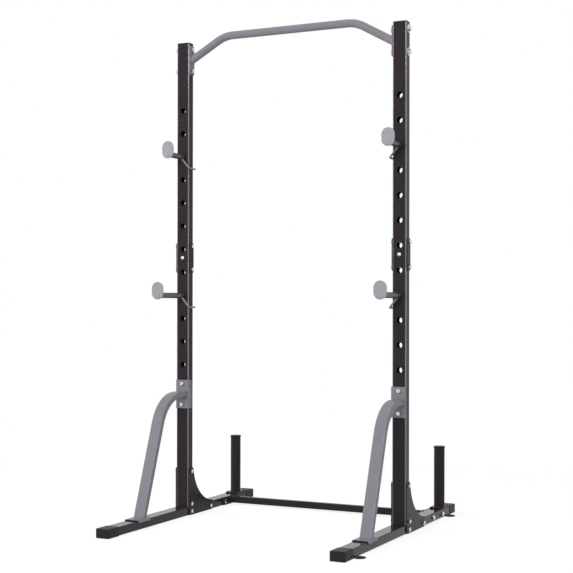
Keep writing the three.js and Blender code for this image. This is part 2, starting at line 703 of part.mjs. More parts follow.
// The crossbar near the floor, with a drilled plate welded to each end
function lowerCrossbar() {
  const face = halfSpacing - plateFace;
  const reach = 2 * (face - crossPlate.thickness / 2);
  const section = tubeSection({ ...crossbar, width: crossbar.depth });
  const tube = againstSide(extrude(section, reach).translate(0, crossbar.lift, -reach / 2));
  const places = crossBolts.map((back) => [back, 0]);
  let body = solid(tube);
  for (const sign of [-1, 1]) {
    const { span } = crossPlate;
    body = body.add(endPlate(span, base.height, crossPlate, frameBolt, places, sign, face));
  }
  const mesh = piece("crossbar", body, "black");
  mesh.position.set(0, crossbarBack, baseMiddle);
  return mesh;
}

// The pull-up bar, cranked up between two bends, with a drilled plate welded to each end
function pullUpBar() {
  const face = halfSpacing - plateFace;
  const end = face - pullUpPlate.thickness / 2;
  const bendAt = halfSpacing - pullUp.crank;
  const slope = pullUp.rise / (end - bendAt);
  const tip = end + overrun;
  const corners = [
    new THREE.Vector3(-tip, 0, -overrun * slope),
    new THREE.Vector3(-bendAt, 0, pullUp.rise),
    new THREE.Vector3(bendAt, 0, pullUp.rise),
    new THREE.Vector3(tip, 0, -overrun * slope),
  ];
  const section = ringSection(pullUp.diameter, pullUp.wall, steps.pipe);
  let body = sweep(section, new PipeRun(corners, pullUp.bendRadius));
  const { height, thickness } = pullUpPlate;
  const places = pullUpBolts.map((up) => [0, up]);
  for (const sign of [-1, 1]) {
    const saw = new THREE.BoxGeometry(2 * height, 2 * height, 2 * height);
    saw.translate(sign * (face - thickness / 2 + height), 0, 0);
    const plate = endPlate(upright.depth, height, pullUpPlate, barBolt, places, sign, face);
    body = body.subtract(solid(saw)).add(plate);
  }
  const mesh = piece("pull_up_bar", body, "silver");
  mesh.position.set(0, uprightMiddle, pullUpMiddle);
  return mesh;
}

const rack = new THREE.Group();
rack.add(rackSide("left", 1), rackSide("right", -1), lowerCrossbar(), pullUpBar());

export default rack;
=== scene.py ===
"""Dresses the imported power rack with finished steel, plastic and zinc, and sets up the studio.

Every finished piece is worked out in millimetres in the frame of the rack, from the same driving
sizes as the frame, and stands for the CAD node of the same name. The floor is Z = 0, the front
faces of both uprights lie on Y = 0 and X runs to the right.
"""

import logging
import math
from abc import ABC, abstractmethod
from collections.abc import Iterator, Mapping, Sequence
from dataclasses import dataclass, field
from enum import Enum
from functools import cache, cached_property

import bmesh
import bpy
import numpy as np
from mathutils import Matrix, Vector
from mathutils.geometry import tessellate_polygon


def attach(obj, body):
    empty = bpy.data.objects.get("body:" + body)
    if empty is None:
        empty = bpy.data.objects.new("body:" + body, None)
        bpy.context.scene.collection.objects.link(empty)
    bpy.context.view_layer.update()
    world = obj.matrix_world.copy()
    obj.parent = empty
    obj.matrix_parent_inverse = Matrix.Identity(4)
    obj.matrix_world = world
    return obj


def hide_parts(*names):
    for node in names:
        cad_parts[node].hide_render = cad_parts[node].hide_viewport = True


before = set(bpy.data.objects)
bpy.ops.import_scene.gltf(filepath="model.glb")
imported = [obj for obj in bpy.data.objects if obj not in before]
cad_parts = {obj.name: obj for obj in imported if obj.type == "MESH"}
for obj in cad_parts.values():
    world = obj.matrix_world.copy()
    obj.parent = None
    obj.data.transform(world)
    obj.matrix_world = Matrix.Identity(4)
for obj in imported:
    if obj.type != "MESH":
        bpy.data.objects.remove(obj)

logging.basicConfig(level=logging.INFO, format="%(message)s")
log = logging.getLogger("rack")

METRES_PER_MM = 0.001
PHOTO_PIXELS = 573
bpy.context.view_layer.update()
QUARTER = math.pi / 2
HALF_TURN = math.pi
FULL_TURN = 2 * math.pi
BOTH = (-1, 1)
CORNER_STEPS = 6
TUBE_CORNER_STEPS = 8
HOLE_STEPS = 24

Colour = tuple[float, float, float]
Place = Vector | tuple[float, float, float]


# Sizes that several sub-assemblies share, in millimetres


@dataclass(frozen=True)
class Tube:
    """A rectangular steel tube: its outer sizes, wall and corner radius."""

    width: float
    height: float
    wall: float
    corner: float

    @property
    def outside(self) -> tuple[float, float, float]:
        """Width, height and corner radius of its outside."""
        return self.width, self.height, self.corner

    @property
    def bore(self) -> tuple[float, float, float]:
        """Width, height and corner radius of its inside."""
        return self.width - 2 * self.wall, self.height - 2 * self.wall, self.corner - self.wall / 2


@dataclass(frozen=True)
class EndPlate:
    """A flat rectangular plate with round corners: its sizes and the spacing of its bolts."""

    width: float
    height: float
    thickness: float
    corner: float
    bolts: float


FIT_GAP = 0.3
HALF_SPACING = 509.0
BASE = Tube(60.0, 36.0, 2.5, 4.0)
BASE_LENGTH = 1240.0
BASE_BOTTOM = 1.8
BASE_TOP = BASE_BOTTOM + BASE.height
BASE_MIDDLE = BASE_BOTTOM + BASE.height / 2
UPRIGHT = Tube(60.0, 40.0, 2.5, 4.0)
UPRIGHT_TOP = 2078.0
UPRIGHT_MIDDLE = UPRIGHT.height / 2
PLATE_FACE = UPRIGHT.width / 2 + FIT_GAP
INNER_FACE = HALF_SPACING - PLATE_FACE
PIN_HOLE = 26.0
PIN_PITCH = 101.6
TOP_PIN_HEIGHT = 1782.0
PIN_HEIGHTS = [TOP_PIN_HEIGHT - step * PIN_PITCH for step in range(12)]
BEAD_SPREAD = 0.6
BEAD_RADIUS = 1.9
WELDED_IN = 1.0


class Side(Enum):
    """One side of the rack; its value is the sign of X that points at the rack's middle."""

    LEFT = 1
    RIGHT = -1

    @property
    def inner(self) -> int:
        """Sign of X that points at the middle of the rack."""
        return self.value

    @property
    def plane(self) -> float:
        """X of the middle of this side's upright."""
        return -self.value * HALF_SPACING

    def named(self, name: str) -> str:
        """Returns the node name of a piece on this side."""
        return f"{name}_{self.name.lower()}"


# Outlines, as rows of (x, y)


def arc(
    x: float, y: float, radius: float, start: float, end: float, steps: int = CORNER_STEPS
) -> np.ndarray:
    """Part of a circle, ends included: (x + r cos t, y + r sin t) for t in even steps."""
    turns = np.linspace(start, end, steps + 1)
    return np.column_stack([x + radius * np.cos(turns), y + radius * np.sin(turns)])


def circle(radius: float, steps: int = 48) -> np.ndarray:
    """A closed circle about the origin."""
    return arc(0, 0, radius, 0, FULL_TURN, steps)[:-1]


def rounded_rectangle(
    width: float, height: float, radius: float, steps: int = CORNER_STEPS
) -> np.ndarray:
    """A closed rectangle about the origin: four quarter circles joined by straight sides.

    Args:
        width, height: its outer sizes.
        radius: radius of its corners.
        steps: chords in each corner.

    Returns:
        The outline, counter-clockwise.
    """
    x, y = width / 2 - radius, height / 2 - radius
    corners = zip(((x, y), (-x, y), (-x, -y), (x, -y)), np.arange(4) * QUARTER)
    return np.vstack(
        [arc(*middle, radius, turn, turn + QUARTER, steps) for middle, turn in corners]
    )


def stadium(width: float, height: float, steps: int = 24) -> np.ndarray:
    """An upright oval: two half circles joined by straight sides.

    Args:
        width, height: its outer sizes.
        steps: chords in each half circle.

    Returns:
        The outline, counter-clockwise.
    """
    radius, straight_half = width / 2, (height - width) / 2
    top = arc(0, straight_half, radius, 0, HALF_TURN, steps)
    return np.vstack([top, arc(0, -straight_half, radius, HALF_TURN, FULL_TURN, steps)])


def inset(outline: np.ndarray, distance: float) -> np.ndarray:
    """Moves every point inwards, square to the chord between its two neighbours.

    Args:
        outline: a closed outline, counter-clockwise.
        distance: how far in; a negative distance moves the points out.

    Returns:
        A new outline with the same number of points.
    """
    along = np.roll(outline, -1, axis=0) - np.roll(outline, 1, axis=0)
    along /= np.linalg.norm(along, axis=1, keepdims=True)
    return outline + distance * np.column_stack([-along[:, 1], along[:, 0]])


def flat_ring(outline: np.ndarray, level: float | np.ndarray) -> np.ndarray:
    """Lays an outline on the plane Z = level, or gives each of its points a level of its own."""
    return np.column_stack([outline, np.broadcast_to(level, len(outline))])


def standing_ring(outline: np.ndarray, y: float) -> np.ndarray:
    """Stands an outline up on the plane Y = y."""
    return np.column_stack([outline[:, 0], np.full(len(outline), y), outline[:, 1]])


# Shapes, in millimetres


def at(x: float = 0.0, y: float = 0.0, z: float = 0.0) -> Matrix:
    """A plain move."""
    return Matrix.Translation((x, y, z))


def axes(x: Vector, y: Vector, z: Vector) -> Matrix:
    """A rotation that sends X, Y and Z to the directions given."""
    return Matrix((x, y, z)).transposed().to_4x4()


X, Y, Z = Vector((1, 0, 0)), Vector((0, 1, 0)), Vector((0, 0, 1))
TO_RIGHT = axes(Y, Z, X)
TO_FRONT = axes(X, Z, -Y)
TO_BACK = axes(X, -Z, Y)
POLE_RADIUS = 0.01


@dataclass
class Shape:
    """Points as rows of (x, y, z), and faces as tables whose rows list the corners of each face."""

    points: np.ndarray = field(default_factory=lambda: np.empty((0, 3)))
    faces: list[np.ndarray] = field(default_factory=list)

    def add(self, points: np.ndarray, *tables: np.ndarray) -> "Shape":
        """Adds points and faces.

        Args:
            points: rows of (x, y, z).
            tables: faces, whose corners count from the first of these points.

        Returns:
            This shape.
        """
        start = len(self.points)
        self.points = np.vstack([self.points, points])
        self.faces += [start + np.atleast_2d(table) for table in tables]
        return self

    def join(self, other: "Shape") -> "Shape":
        """Adds all of another shape to this one."""
        return self.add(other.points, *other.faces)

    def moved(self, matrix: Matrix) -> "Shape":
        """Returns this shape with every point p at R p + t, for the matrix's rotation and move."""
        whole = np.array(matrix)
        return Shape(self.points @ whole[:3, :3].T + whole[:3, 3], list(self.faces))

    def loft(self, rings: Sequence[np.ndarray], caps: bool = True) -> "Shape":
        """Skins the grid P(u, v) = point v of ring u, which closes round v.

        Args:
            rings: rings of equally many points.
            caps: whether both end rings are filled.

        Returns:
            This shape.
        """
        grid = np.asarray(rings)
        index = np.arange(grid.shape[0] * grid.shape[1]).reshape(grid.shape[:2])
        beside = np.roll(index, -1, axis=1)
        quads = np.stack([index[:-1], beside[:-1], beside[1:], index[1:]], axis=-1).reshape(-1, 4)
        ends = (index[0], index[-1]) if caps else ()
        return self.add(grid.reshape(-1, 3), quads, *ends)

    def closed_loft(self, rings: Sequence[np.ndarray]) -> "Shape":
        """Skins the same grid and closes it round u as well, so that it ends where it begins."""
        return self.loft([*rings, rings[0]], caps=False)

    def fill(self, loops: Sequence[np.ndarray]) -> "Shape":
        """Fills the flat area inside the first loop and outside the others with triangles."""
        triangles = tessellate_polygon([list(map(Vector, loop)) for loop in loops])
        return self.add(np.vstack(loops), np.array(triangles))


def rounded_over(edge: float, steps: int = 3) -> tuple[np.ndarray, np.ndarray]:
    """Insets r (1 - cos t) and depths r (1 - sin t) across a round edge, t from 0 to a quarter."""
    turns = np.linspace(0, QUARTER, steps + 1)
    return edge * (1 - np.cos(turns)), edge * (1 - np.sin(turns))


def plate(
    outline: np.ndarray, holes: Sequence[np.ndarray], thickness: float, edge: float = 0.7
) -> Shape:
    """A flat plate from Z = 0 up: outlines lofted over both rounded edges, and two filled faces.

    Args:
        outline: its outer outline, counter-clockwise.
        holes: outlines of its holes, counter-clockwise.
        thickness: its thickness.
        edge: radius of the rounded edges.

    Returns:
        The plate.
    """
    shape = Shape()
    insets, depths = rounded_over(edge)
    steps = list(zip([*insets[::-1], *insets], [*depths[::-1], *(thickness - depths)]))
    for loop, sign in [(outline, 1), *((hole, -1) for hole in holes)]:
        shape.loft([flat_ring(inset(loop, sign * inwards), z) for inwards, z in steps], caps=False)
    flat = [inset(outline, edge), *(inset(hole, -edge) for hole in holes)]
    for level in (0.0, thickness):
        shape.fill([flat_ring(loop, level) for loop in flat])
    return shape


def turned(
    profile: Sequence[tuple[float, float]], steps: int = 48, hollow: bool = False
) -> Shape:
    """A body turned about Z: P(u, v) = (r(u) cos v, r(u) sin v, z(u)).

    A point on the axis becomes a tiny ring, which its end face closes.

    Args:
        profile: pairs of (r, z), from one end on the axis to the other.
        steps: chords round the axis.
        hollow: whether the profile closes on itself instead, clear of the axis.

    Returns:
        The body.
    """
    radii, heights = np.array(profile, float).T
    turns = np.linspace(0, FULL_TURN, steps, endpoint=False)
    unit = np.column_stack([np.cos(turns), np.sin(turns), np.zeros(steps)])
    radii = np.maximum(radii, POLE_RADIUS)
    rings = radii[:, None, None] * unit + heights[:, None, None] * np.array(Z)
    return Shape().closed_loft(rings) if hollow else Shape().loft(rings)


@dataclass(frozen=True)
class Path:
    """Places along a line, and the direction of the line at each, as rows of (x, y, z)."""

    points: np.ndarray
    headings: np.ndarray

    @classmethod
    def straight(cls, start: Place, end: Place) -> "Path":
        """A straight line between two points."""
        heading = (Vector(end) - Vector(start)).normalized()
        return cls(np.array([start, end]), np.tile(heading, (2, 1)))

    @classmethod
    def bent(cls, corners: Sequence[Place], radius: float, steps: int = 16) -> "Path":
        """Straight lengths joined by arcs: centre + cos(t) s + sin(t) (axis x s), s a spoke.

        Args:
            corners: the corners of the line.
            radius: radius of every bend.
            steps: chords in each bend.

        Returns:
            The path from one end to the other.
        """
        line = [Vector(corner) for corner in corners]
        ways = [(b - a).normalized() for a, b in zip(line, line[1:])]
        points, headings = [line[:1]], [ways[:1]]
        for corner, into, out in zip(line[1:-1], ways, ways[1:]):
            turn, axis = into.angle(out), into.cross(out).normalized()
            centre = corner + (out - into).normalized() * (radius / math.cos(turn / 2))
            spoke = corner - into * (radius * math.tan(turn / 2)) - centre
            turns = np.linspace(0, turn, steps + 1)
            swing = np.column_stack([np.cos(turns), np.sin(turns)])
            points.append(np.array(centre) + swing @ np.array([spoke, axis.cross(spoke)]))
            headings.append(swing @ np.array([into, axis.cross(into)]))
        return cls(np.vstack([*points, line[-1:]]), np.vstack([*headings, ways[-1:]]))

    def carry(
        self, section: np.ndarray, normal: Place, swell: float | np.ndarray = 1.0
    ) -> np.ndarray:
        """Carries a section along: P(u, v) = point u + s(u) (x(v) (n x heading u) + y(v) n).

        Args:
            section: an outline, whose Y axis follows the normal.
            normal: normal n of the plane that the path lies in.
            swell: scale s of the section, for the whole path or for each of its places.

        Returns:
            One ring for each place of the path.
        """
        across = np.cross(normal, self.headings)
        across /= np.linalg.norm(across, axis=1, keepdims=True)
        spread = section[None, :, :1] * across[:, None] + section[None, :, 1:] * np.array(normal)
        return self.points[:, None] + np.reshape(swell, (-1, 1, 1)) * spread


def hollow_tube(section: Tube, path: Path, normal: Place) -> Shape:
    """A rectangular tube carried along a path: its outside, and back along its bore.

    Args:
        section: sizes of the tube; its height follows the normal.
        path: its middle line.
        normal: normal of the plane that the path lies in.

    Returns:
        The tube, open at both ends.
    """
    outside, bore = (
        path.carry(rounded_rectangle(*sizes, TUBE_CORNER_STEPS), normal)
        for sizes in (section.outside, section.bore)
    )
    return Shape().closed_loft([*outside, *bore[::-1]])


def weld_bead(points: np.ndarray, radius: float, closed: bool = True) -> Shape:
    """A weld bead along a seam that lies flat: circles whose radius saws down with each ripple.

    Args:
        points: points along the seam, close together.
        radius: largest radius of the bead.
        closed: whether the seam runs all the way round.

    Returns:
        The bead.
    """
    ripple_share, ripple_depth, sides = 0.9, 0.16, 8
    if closed:
        headings = np.roll(points, -1, axis=0) - np.roll(points, 1, axis=0)
    else:
        headings = np.gradient(points, axis=0)
    strides = np.linalg.norm(np.diff(points, axis=0, prepend=points[:1]), axis=1)
    swell = 1 - ripple_depth * (np.cumsum(strides) / (radius * ripple_share) % 1.0)
    rings = Path(points, headings).carry(circle(radius, sides), Z, swell)
    return Shape().closed_loft(rings) if closed else Shape().loft(rings)


def weld_round(
    outline: np.ndarray, radius: float = BEAD_RADIUS, spread: float = BEAD_SPREAD
) -> Shape:
    """A closed bead on Z = 0 round an outline, which is walked in even steps of its length.

    Args:
        outline: the joint, counter-clockwise.
        radius: largest radius of the bead.
        spread: how far outside the joint its middle lies.

    Returns:
        The bead.
    """
    stride_share = 0.3
    seam, stride = inset(outline, -spread), radius * stride_share
    loop = np.vstack([seam, seam[:1]])
    lengths = np.cumsum(np.linalg.norm(np.diff(loop, axis=0, prepend=loop[:1]), axis=1))
    steps = np.linspace(0, lengths[-1], round(lengths[-1] / stride), endpoint=False)
    walked = np.column_stack([np.interp(steps, lengths, loop[:, k]) for k in (0, 1)])
    return weld_bead(flat_ring(walked, 0.0), radius)


# Shader maths


class Value:
    """A shader socket that is reckoned with like a number: each operator adds a Math node."""

    def __init__(self, nodes: "Nodes", socket: bpy.types.NodeSocket) -> None:
        """Wraps one socket of a tree."""
        self.nodes, self.socket = nodes, socket

    def _maths(self, operation: str, first: "Value | float", second: "Value | float") -> "Value":
        """Adds a Math node for an operation on two values."""
        return self.nodes.add("Math", {"operation": operation}, {0: first, 1: second})

    def __add__(self, other: "Value | float") -> "Value":
        """Value plus value or number."""
        return self._maths("ADD", self, other)

    def __radd__(self, other: float) -> "Value":
        """Number plus value."""
        return self._maths("ADD", other, self)

    def __sub__(self, other: "Value | float") -> "Value":
        """Value less value or number."""
        return self._maths("SUBTRACT", self, other)

    def __rsub__(self, other: float) -> "Value":
        """Number less value."""
        return self._maths("SUBTRACT", other, self)

    def __mul__(self, other: "Value | float") -> "Value":
        """Value times value or number."""
        return self._maths("MULTIPLY", self, other)

    def __rmul__(self, other: float) -> "Value":
        """Number times value."""
        return self._maths("MULTIPLY", other, self)

    def above(self, edge: float, width: float) -> "Value":
        """Rises smoothly from 0 to 1 across an edge of the given width."""
        ends = {"Value": self, "From Min": edge - width / 2, "From Max": edge + width / 2}
        return self.nodes.add("MapRange", {"interpolation_type": "SMOOTHSTEP"}, ends)

    def between(self, low: float, high: float) -> "Value":
        """Spreads 0 to 1 over low to high: (1 - v) low + v high."""
        return (1 - self) * low + self * high

    def beside(self, output: str) -> "Value":
        """Another output of the same node."""
        return Value(self.nodes, self.socket.node.outputs[output])


@dataclass(frozen=True)
class Clouds:
    """Cloudy noise: clouds per metre, its levels of finer detail, and how far it is stirred."""

    scale: float
    detail: float
    stir: float = 0.0


class Nodes:
    """A shader tree, emptied, whose nodes all come from one method."""

    def __init__(self, owner: bpy.types.Material | bpy.types.World) -> None:
        """Empties the tree of its owner.

        Args:
            owner: the material or the world.
        """
        owner.use_nodes = True
        self.tree = owner.node_tree
        self.tree.nodes.clear()

    def add(
        self,
        kind: str,
        settings: Mapping[str, object] | None = None,
        sockets: Mapping[str | int, object] | None = None,
        output: str | int = 0,
    ) -> Value:
        """Adds one node.

        Args:
            kind: its type, less the leading ShaderNode.
            settings: its own settings, which are set first.
            sockets: a value or a link for its input sockets, by name or by number.
            output: the output that is wanted.

        Returns:
            The wanted output; for a node without outputs, its first input.
        """
        node = self.tree.nodes.new(f"ShaderNode{kind}")
        for name, setting in (settings or {}).items():
            setattr(node, name, setting)
        for name, source in (sockets or {}).items():
            if isinstance(source, Value):
                self.tree.links.new(source.socket, node.inputs[name])
            else:
                node.inputs[name].default_value = source
        return Value(self, (node.outputs or node.inputs)[output])

    @cached_property
    def place(self) -> Value:
        """Object coordinates, which on every piece are the metres of the rack."""
        return self.add("TexCoord", output="Object")

    def noise(self, clouds: Clouds) -> Value:
        """Cloudy variation of 0 to 1."""
        sockets = {"Vector": self.place, "Scale": clouds.scale, "Detail": clouds.detail}
        return self.add("TexNoise", sockets=sockets | {"Distortion": clouds.stir}, output="Fac")

    def cells(self, scale: float) -> Value:
        """A random grey for every cell of a speckled pattern.

        Args:
            scale: cells per metre.

        Returns:
            The grey, from 0 to 1.
        """
        sockets = {"Vector": self.place, "Scale": scale}
        speckled = self.add("TexVoronoi", sockets=sockets, output="Color")
        return self.add("SeparateColor", sockets={"Color": speckled}, output="Red")

    def tint(self, share: Value, below: Value | Colour, above: Colour) -> Value:
        """Lays a plain colour over another colour by a share.

        Args:
            share: how much of the upper colour shows, from 0 to 1.
            below: the lower colour.
            above: the upper colour.

        Returns:
            The mixed colour.
        """
        under = below if isinstance(below, Value) else (*below, 1.0)
        sockets = {"Factor": share, "A": under, "B": (*above, 1.0)}
        return self.add("Mix", {"data_type": "RGBA"}, sockets, "Result")

    def shader_mix(self, share: Value, first: Value, second: Value) -> Value:
        """Changes from one shader to another by a share."""
        return self.add("MixShader", sockets={"Fac": share, 1: first, 2: second})

    def seen(self) -> Value:
        """Tells the rays that see a thing from those that only light it.

        Returns:
            1 for rays that come from the camera, a mirror or glass, and 0 for all others.
        """
        camera = self.add("LightPath", output="Is Camera Ray")
        kinds = camera + camera.beside("Is Glossy Ray") + camera.beside("Is Transmission Ray")
        return kinds.above(edge=0.5, width=0.1)


# Finishes


SCRATCHES = Clouds(scale=55.0, detail=6.0, stir=1.2)
WORN_AREAS = Clouds(scale=5.0, detail=3.0)
DULL_AREAS = Clouds(scale=22.0, detail=5.0)
SHADES = Clouds(scale=7.0, detail=4.0, stir=0.4)
ORANGE_PEEL = Clouds(scale=160.0, detail=2.0)
GRAIN_DETAIL = 2.0
FLAKES_PER_METRE = 1400.0


@dataclass(frozen=True)
class Finish:
    """What a surface is made of and how it catches the light.

    The slot is the CAD material that it stands for; it is not used. Spread is how far the roughness
    varies either way. Grain is the fine relief, in clouds per metre, and its depth is in metres;
    peel is how high the orange peel stands beside it. Flake is the share of bright specks of a
    metallic coat, and gloss a clear layer over everything. Scuffs show the worn colour and are
    duller. The shades are the colour's darkest and lightest clouds and its flakes, as factors.
    """

    slot: str
    colour: Colour
    worn: Colour
    roughness: float
    spread: float
    specular: float
    grain: float
    grain_depth: float
    metallic: float = 0.0
    flake: float = 0.0
    gloss: float = 0.0
    gloss_roughness: float = 0.08
    peel: float = 1.4
    relief: float = 0.5
    scuff_colour: float = 0.35
    scuff_dullness: float = 0.12
    shades: tuple[float, float, float] = (0.93, 1.07, 1.8)

    def material(self, name: str) -> bpy.types.Material:
        """Wires up the colour, roughness, metal, clear layer and relief in Object coordinates.

        Args:
            name: name of the material.

        Returns:
            The material.
        """
        material = bpy.data.materials.new(name)
        nodes = Nodes(material)
        scratches = nodes.noise(SCRATCHES).above(edge=0.66, width=0.09)
        scuffs = scratches * nodes.noise(WORN_AREAS).above(edge=0.5, width=0.15)
        low, high = self.roughness - self.spread, self.roughness + self.spread
        sockets = {
            "Base Color": self._colour(nodes, scuffs),
            "Roughness": nodes.noise(DULL_AREAS).between(low, high) + self.scuff_dullness * scuffs,
            "Metallic": self.metallic,
            "Specular IOR Level": self.specular,
            "Coat Weight": self.gloss,
            "Coat Roughness": self.gloss_roughness,
            "Normal": self._relief(nodes),
        }
        surface = nodes.add("BsdfPrincipled", sockets=sockets)
        nodes.add("OutputMaterial", sockets={"Surface": surface})
        return material

    def _colour(self, nodes: Nodes, scuffs: Value) -> Value:
        """The colour, clouded a little, with its scuffs and its flakes.

        Args:
            nodes: the tree of the material.
            scuffs: where the surface is worn, from 0 to 1.

        Returns:
            The colour.
        """
        darkest, lightest, bright = map(self._shade, self.shades)
        colour = nodes.tint(nodes.noise(SHADES), darkest, lightest)
        colour = nodes.tint(self.scuff_colour * scuffs, colour, self.worn)
        if self.flake:
            flakes = nodes.cells(FLAKES_PER_METRE).above(edge=0.86, width=0.1)
            colour = nodes.tint(self.flake * flakes, colour, bright)
        return colour

    def _shade(self, factor: float) -> Colour:
        """The colour times a factor, with no channel above 1."""
        return tuple(min(1.0, channel * factor) for channel in self.colour)

    def _relief(self, nodes: Nodes) -> Value:
        """Orange peel over fine grain, as a bump.

        Args:
            nodes: the tree of the material.

        Returns:
            The bumped normal.
        """
        grain = nodes.noise(Clouds(self.grain, GRAIN_DETAIL))
        height = grain + self.peel * nodes.noise(ORANGE_PEEL)
        sockets = {"Height": height, "Strength": self.relief, "Distance": self.grain_depth}
        return nodes.add("Bump", sockets=sockets)


class Surface(Enum):
    """The surfaces of the rack."""

    BLACK_POWDER = Finish(
        "black_powder_coat", colour=(0.0395, 0.0305, 0.0385), worn=(0.08, 0.074, 0.077),
        roughness=0.25, spread=0.04, specular=0.08, grain=900.0, grain_depth=0.00003,
    )
    SMOOTH_POWDER = Finish(
        "black_powder_coat", colour=(0.036, 0.028, 0.035), worn=(0.08, 0.074, 0.077),
        roughness=0.05, spread=0.02, specular=0.16, grain=900.0, grain_depth=0.000005,
    )
    # The uprights' black coat on their rounded corners, coloured light grey there as a painted
    # highlight line, under a real full clear coat.
    BLACK_EDGE = Finish(
        "black_powder_coat", colour=(0.19, 0.178, 0.174), worn=(0.12, 0.11, 0.105),
        roughness=0.16, spread=0.03, specular=0.5, grain=900.0, grain_depth=0.00002, gloss=1.0,
    )
    SILVER_POWDER = Finish(
        "silver_powder_coat", colour=(0.3, 0.284, 0.324), worn=(0.2, 0.19, 0.195),
        roughness=0.33, spread=0.05, specular=0.1, grain=1100.0, grain_depth=0.00004,
        metallic=0.12, flake=0.12,
    )
    PALE_POWDER = Finish(
        "pale_powder_coat", colour=(0.41, 0.398, 0.445), worn=(0.22, 0.21, 0.215),
        roughness=0.36, spread=0.05, specular=0.4, grain=1100.0, grain_depth=0.00004,
        metallic=0.2, flake=0.1,
    )
    # The pale coat of the catches and spotters, darkened to a brown grey for their rods: painted
    # shade.
    ROD_STEEL = Finish(
        "pale_powder_coat", colour=(0.125, 0.108, 0.092), worn=(0.08, 0.07, 0.06),
        roughness=0.34, spread=0.06, specular=0.3, grain=1100.0, grain_depth=0.00003, metallic=0.4,
    )
    ZINC = Finish(
        "zinc_plate", colour=(0.56, 0.565, 0.59), worn=(0.38, 0.36, 0.33),
        roughness=0.2, spread=0.06, specular=0.5, grain=1500.0, grain_depth=0.00002, metallic=1.0,
    )
    PLASTIC = Finish(
        "black_plastic", colour=(0.021, 0.018, 0.021), worn=(0.04, 0.037, 0.039),
        roughness=0.42, spread=0.06, specular=0.12, grain=1400.0, grain_depth=0.00006,
    )
    RUBBER = Finish(
        "black_plastic", colour=(0.037, 0.031, 0.038), worn=(0.065, 0.061, 0.063),
        roughness=0.5, spread=0.06, specular=0.12, grain=1600.0, grain_depth=0.00008,
    )

    @cache
    def material(self) -> bpy.types.Material:
        """Its material, made when it is first asked for."""
        return self.value.material(self.name.lower())


# Pieces


CREASE = 32.0
BOLT_CREASE = 25.0
MERGED_WITHIN = 1e-6
LARGE_FACES_FIRST = 100


def dressed(
    name: str, shape: Shape, surface: Surface, body: str = "frame", crease: float = CREASE
) -> bpy.types.Object:
    """Makes a shape into a mesh with a finish, which moves with a body.

    Args:
        name: name of the piece.
        shape: its points and faces in millimetres.
        surface: its finish.
        body: the CAD body that it rides on.
        crease: edges flatter than this many degrees are shaded smooth.

    Returns:
        The new object, at the origin, unturned and unscaled.
    """
    mesh = bpy.data.meshes.new(name)
    faces = [corners for table in shape.faces for corners in table.tolist()]
    mesh.from_pydata((shape.points * METRES_PER_MM).tolist(), [], faces)
    work = bmesh.new()
    work.from_mesh(mesh)
    bmesh.ops.remove_doubles(work, verts=work.verts, dist=MERGED_WITHIN)
    bmesh.ops.recalc_face_normals(work, faces=work.faces)
    work.to_mesh(mesh)
    work.free()
    mesh.shade_smooth()
    mesh.set_sharp_from_angle(angle=math.radians(crease))
    mesh.materials.append(surface.material())
    piece = bpy.data.objects.new(name, mesh)
    bpy.context.scene.collection.objects.link(piece)
    flat = piece.modifiers.new("flat_faces_stay_flat", "WEIGHTED_NORMAL")
    flat.keep_sharp, flat.weight = True, LARGE_FACES_FIRST
    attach(piece, body)
    return piece


def finished(
    node: str, shape: Shape, surface: Surface, crease: float = CREASE
) -> bpy.types.Object:
    """The finished piece that stands for a CAD node of the frame.

    Args:
        node: name of the CAD node.
        shape: its points and faces in millimetres.
        surface: its finish.
        crease: edges flatter than this many degrees are shaded smooth.

    Returns:
        The new object.
    """
    piece = dressed(f"{node}_finish", shape, surface, crease=crease)
    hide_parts(node)
    return piece


class SubAssembly(ABC):
    """A part of the rack that is built and dressed as one."""

    @abstractmethod
    def pieces(self) -> Iterator[bpy.types.Object]:
        """Builds and dresses its pieces one after the other."""


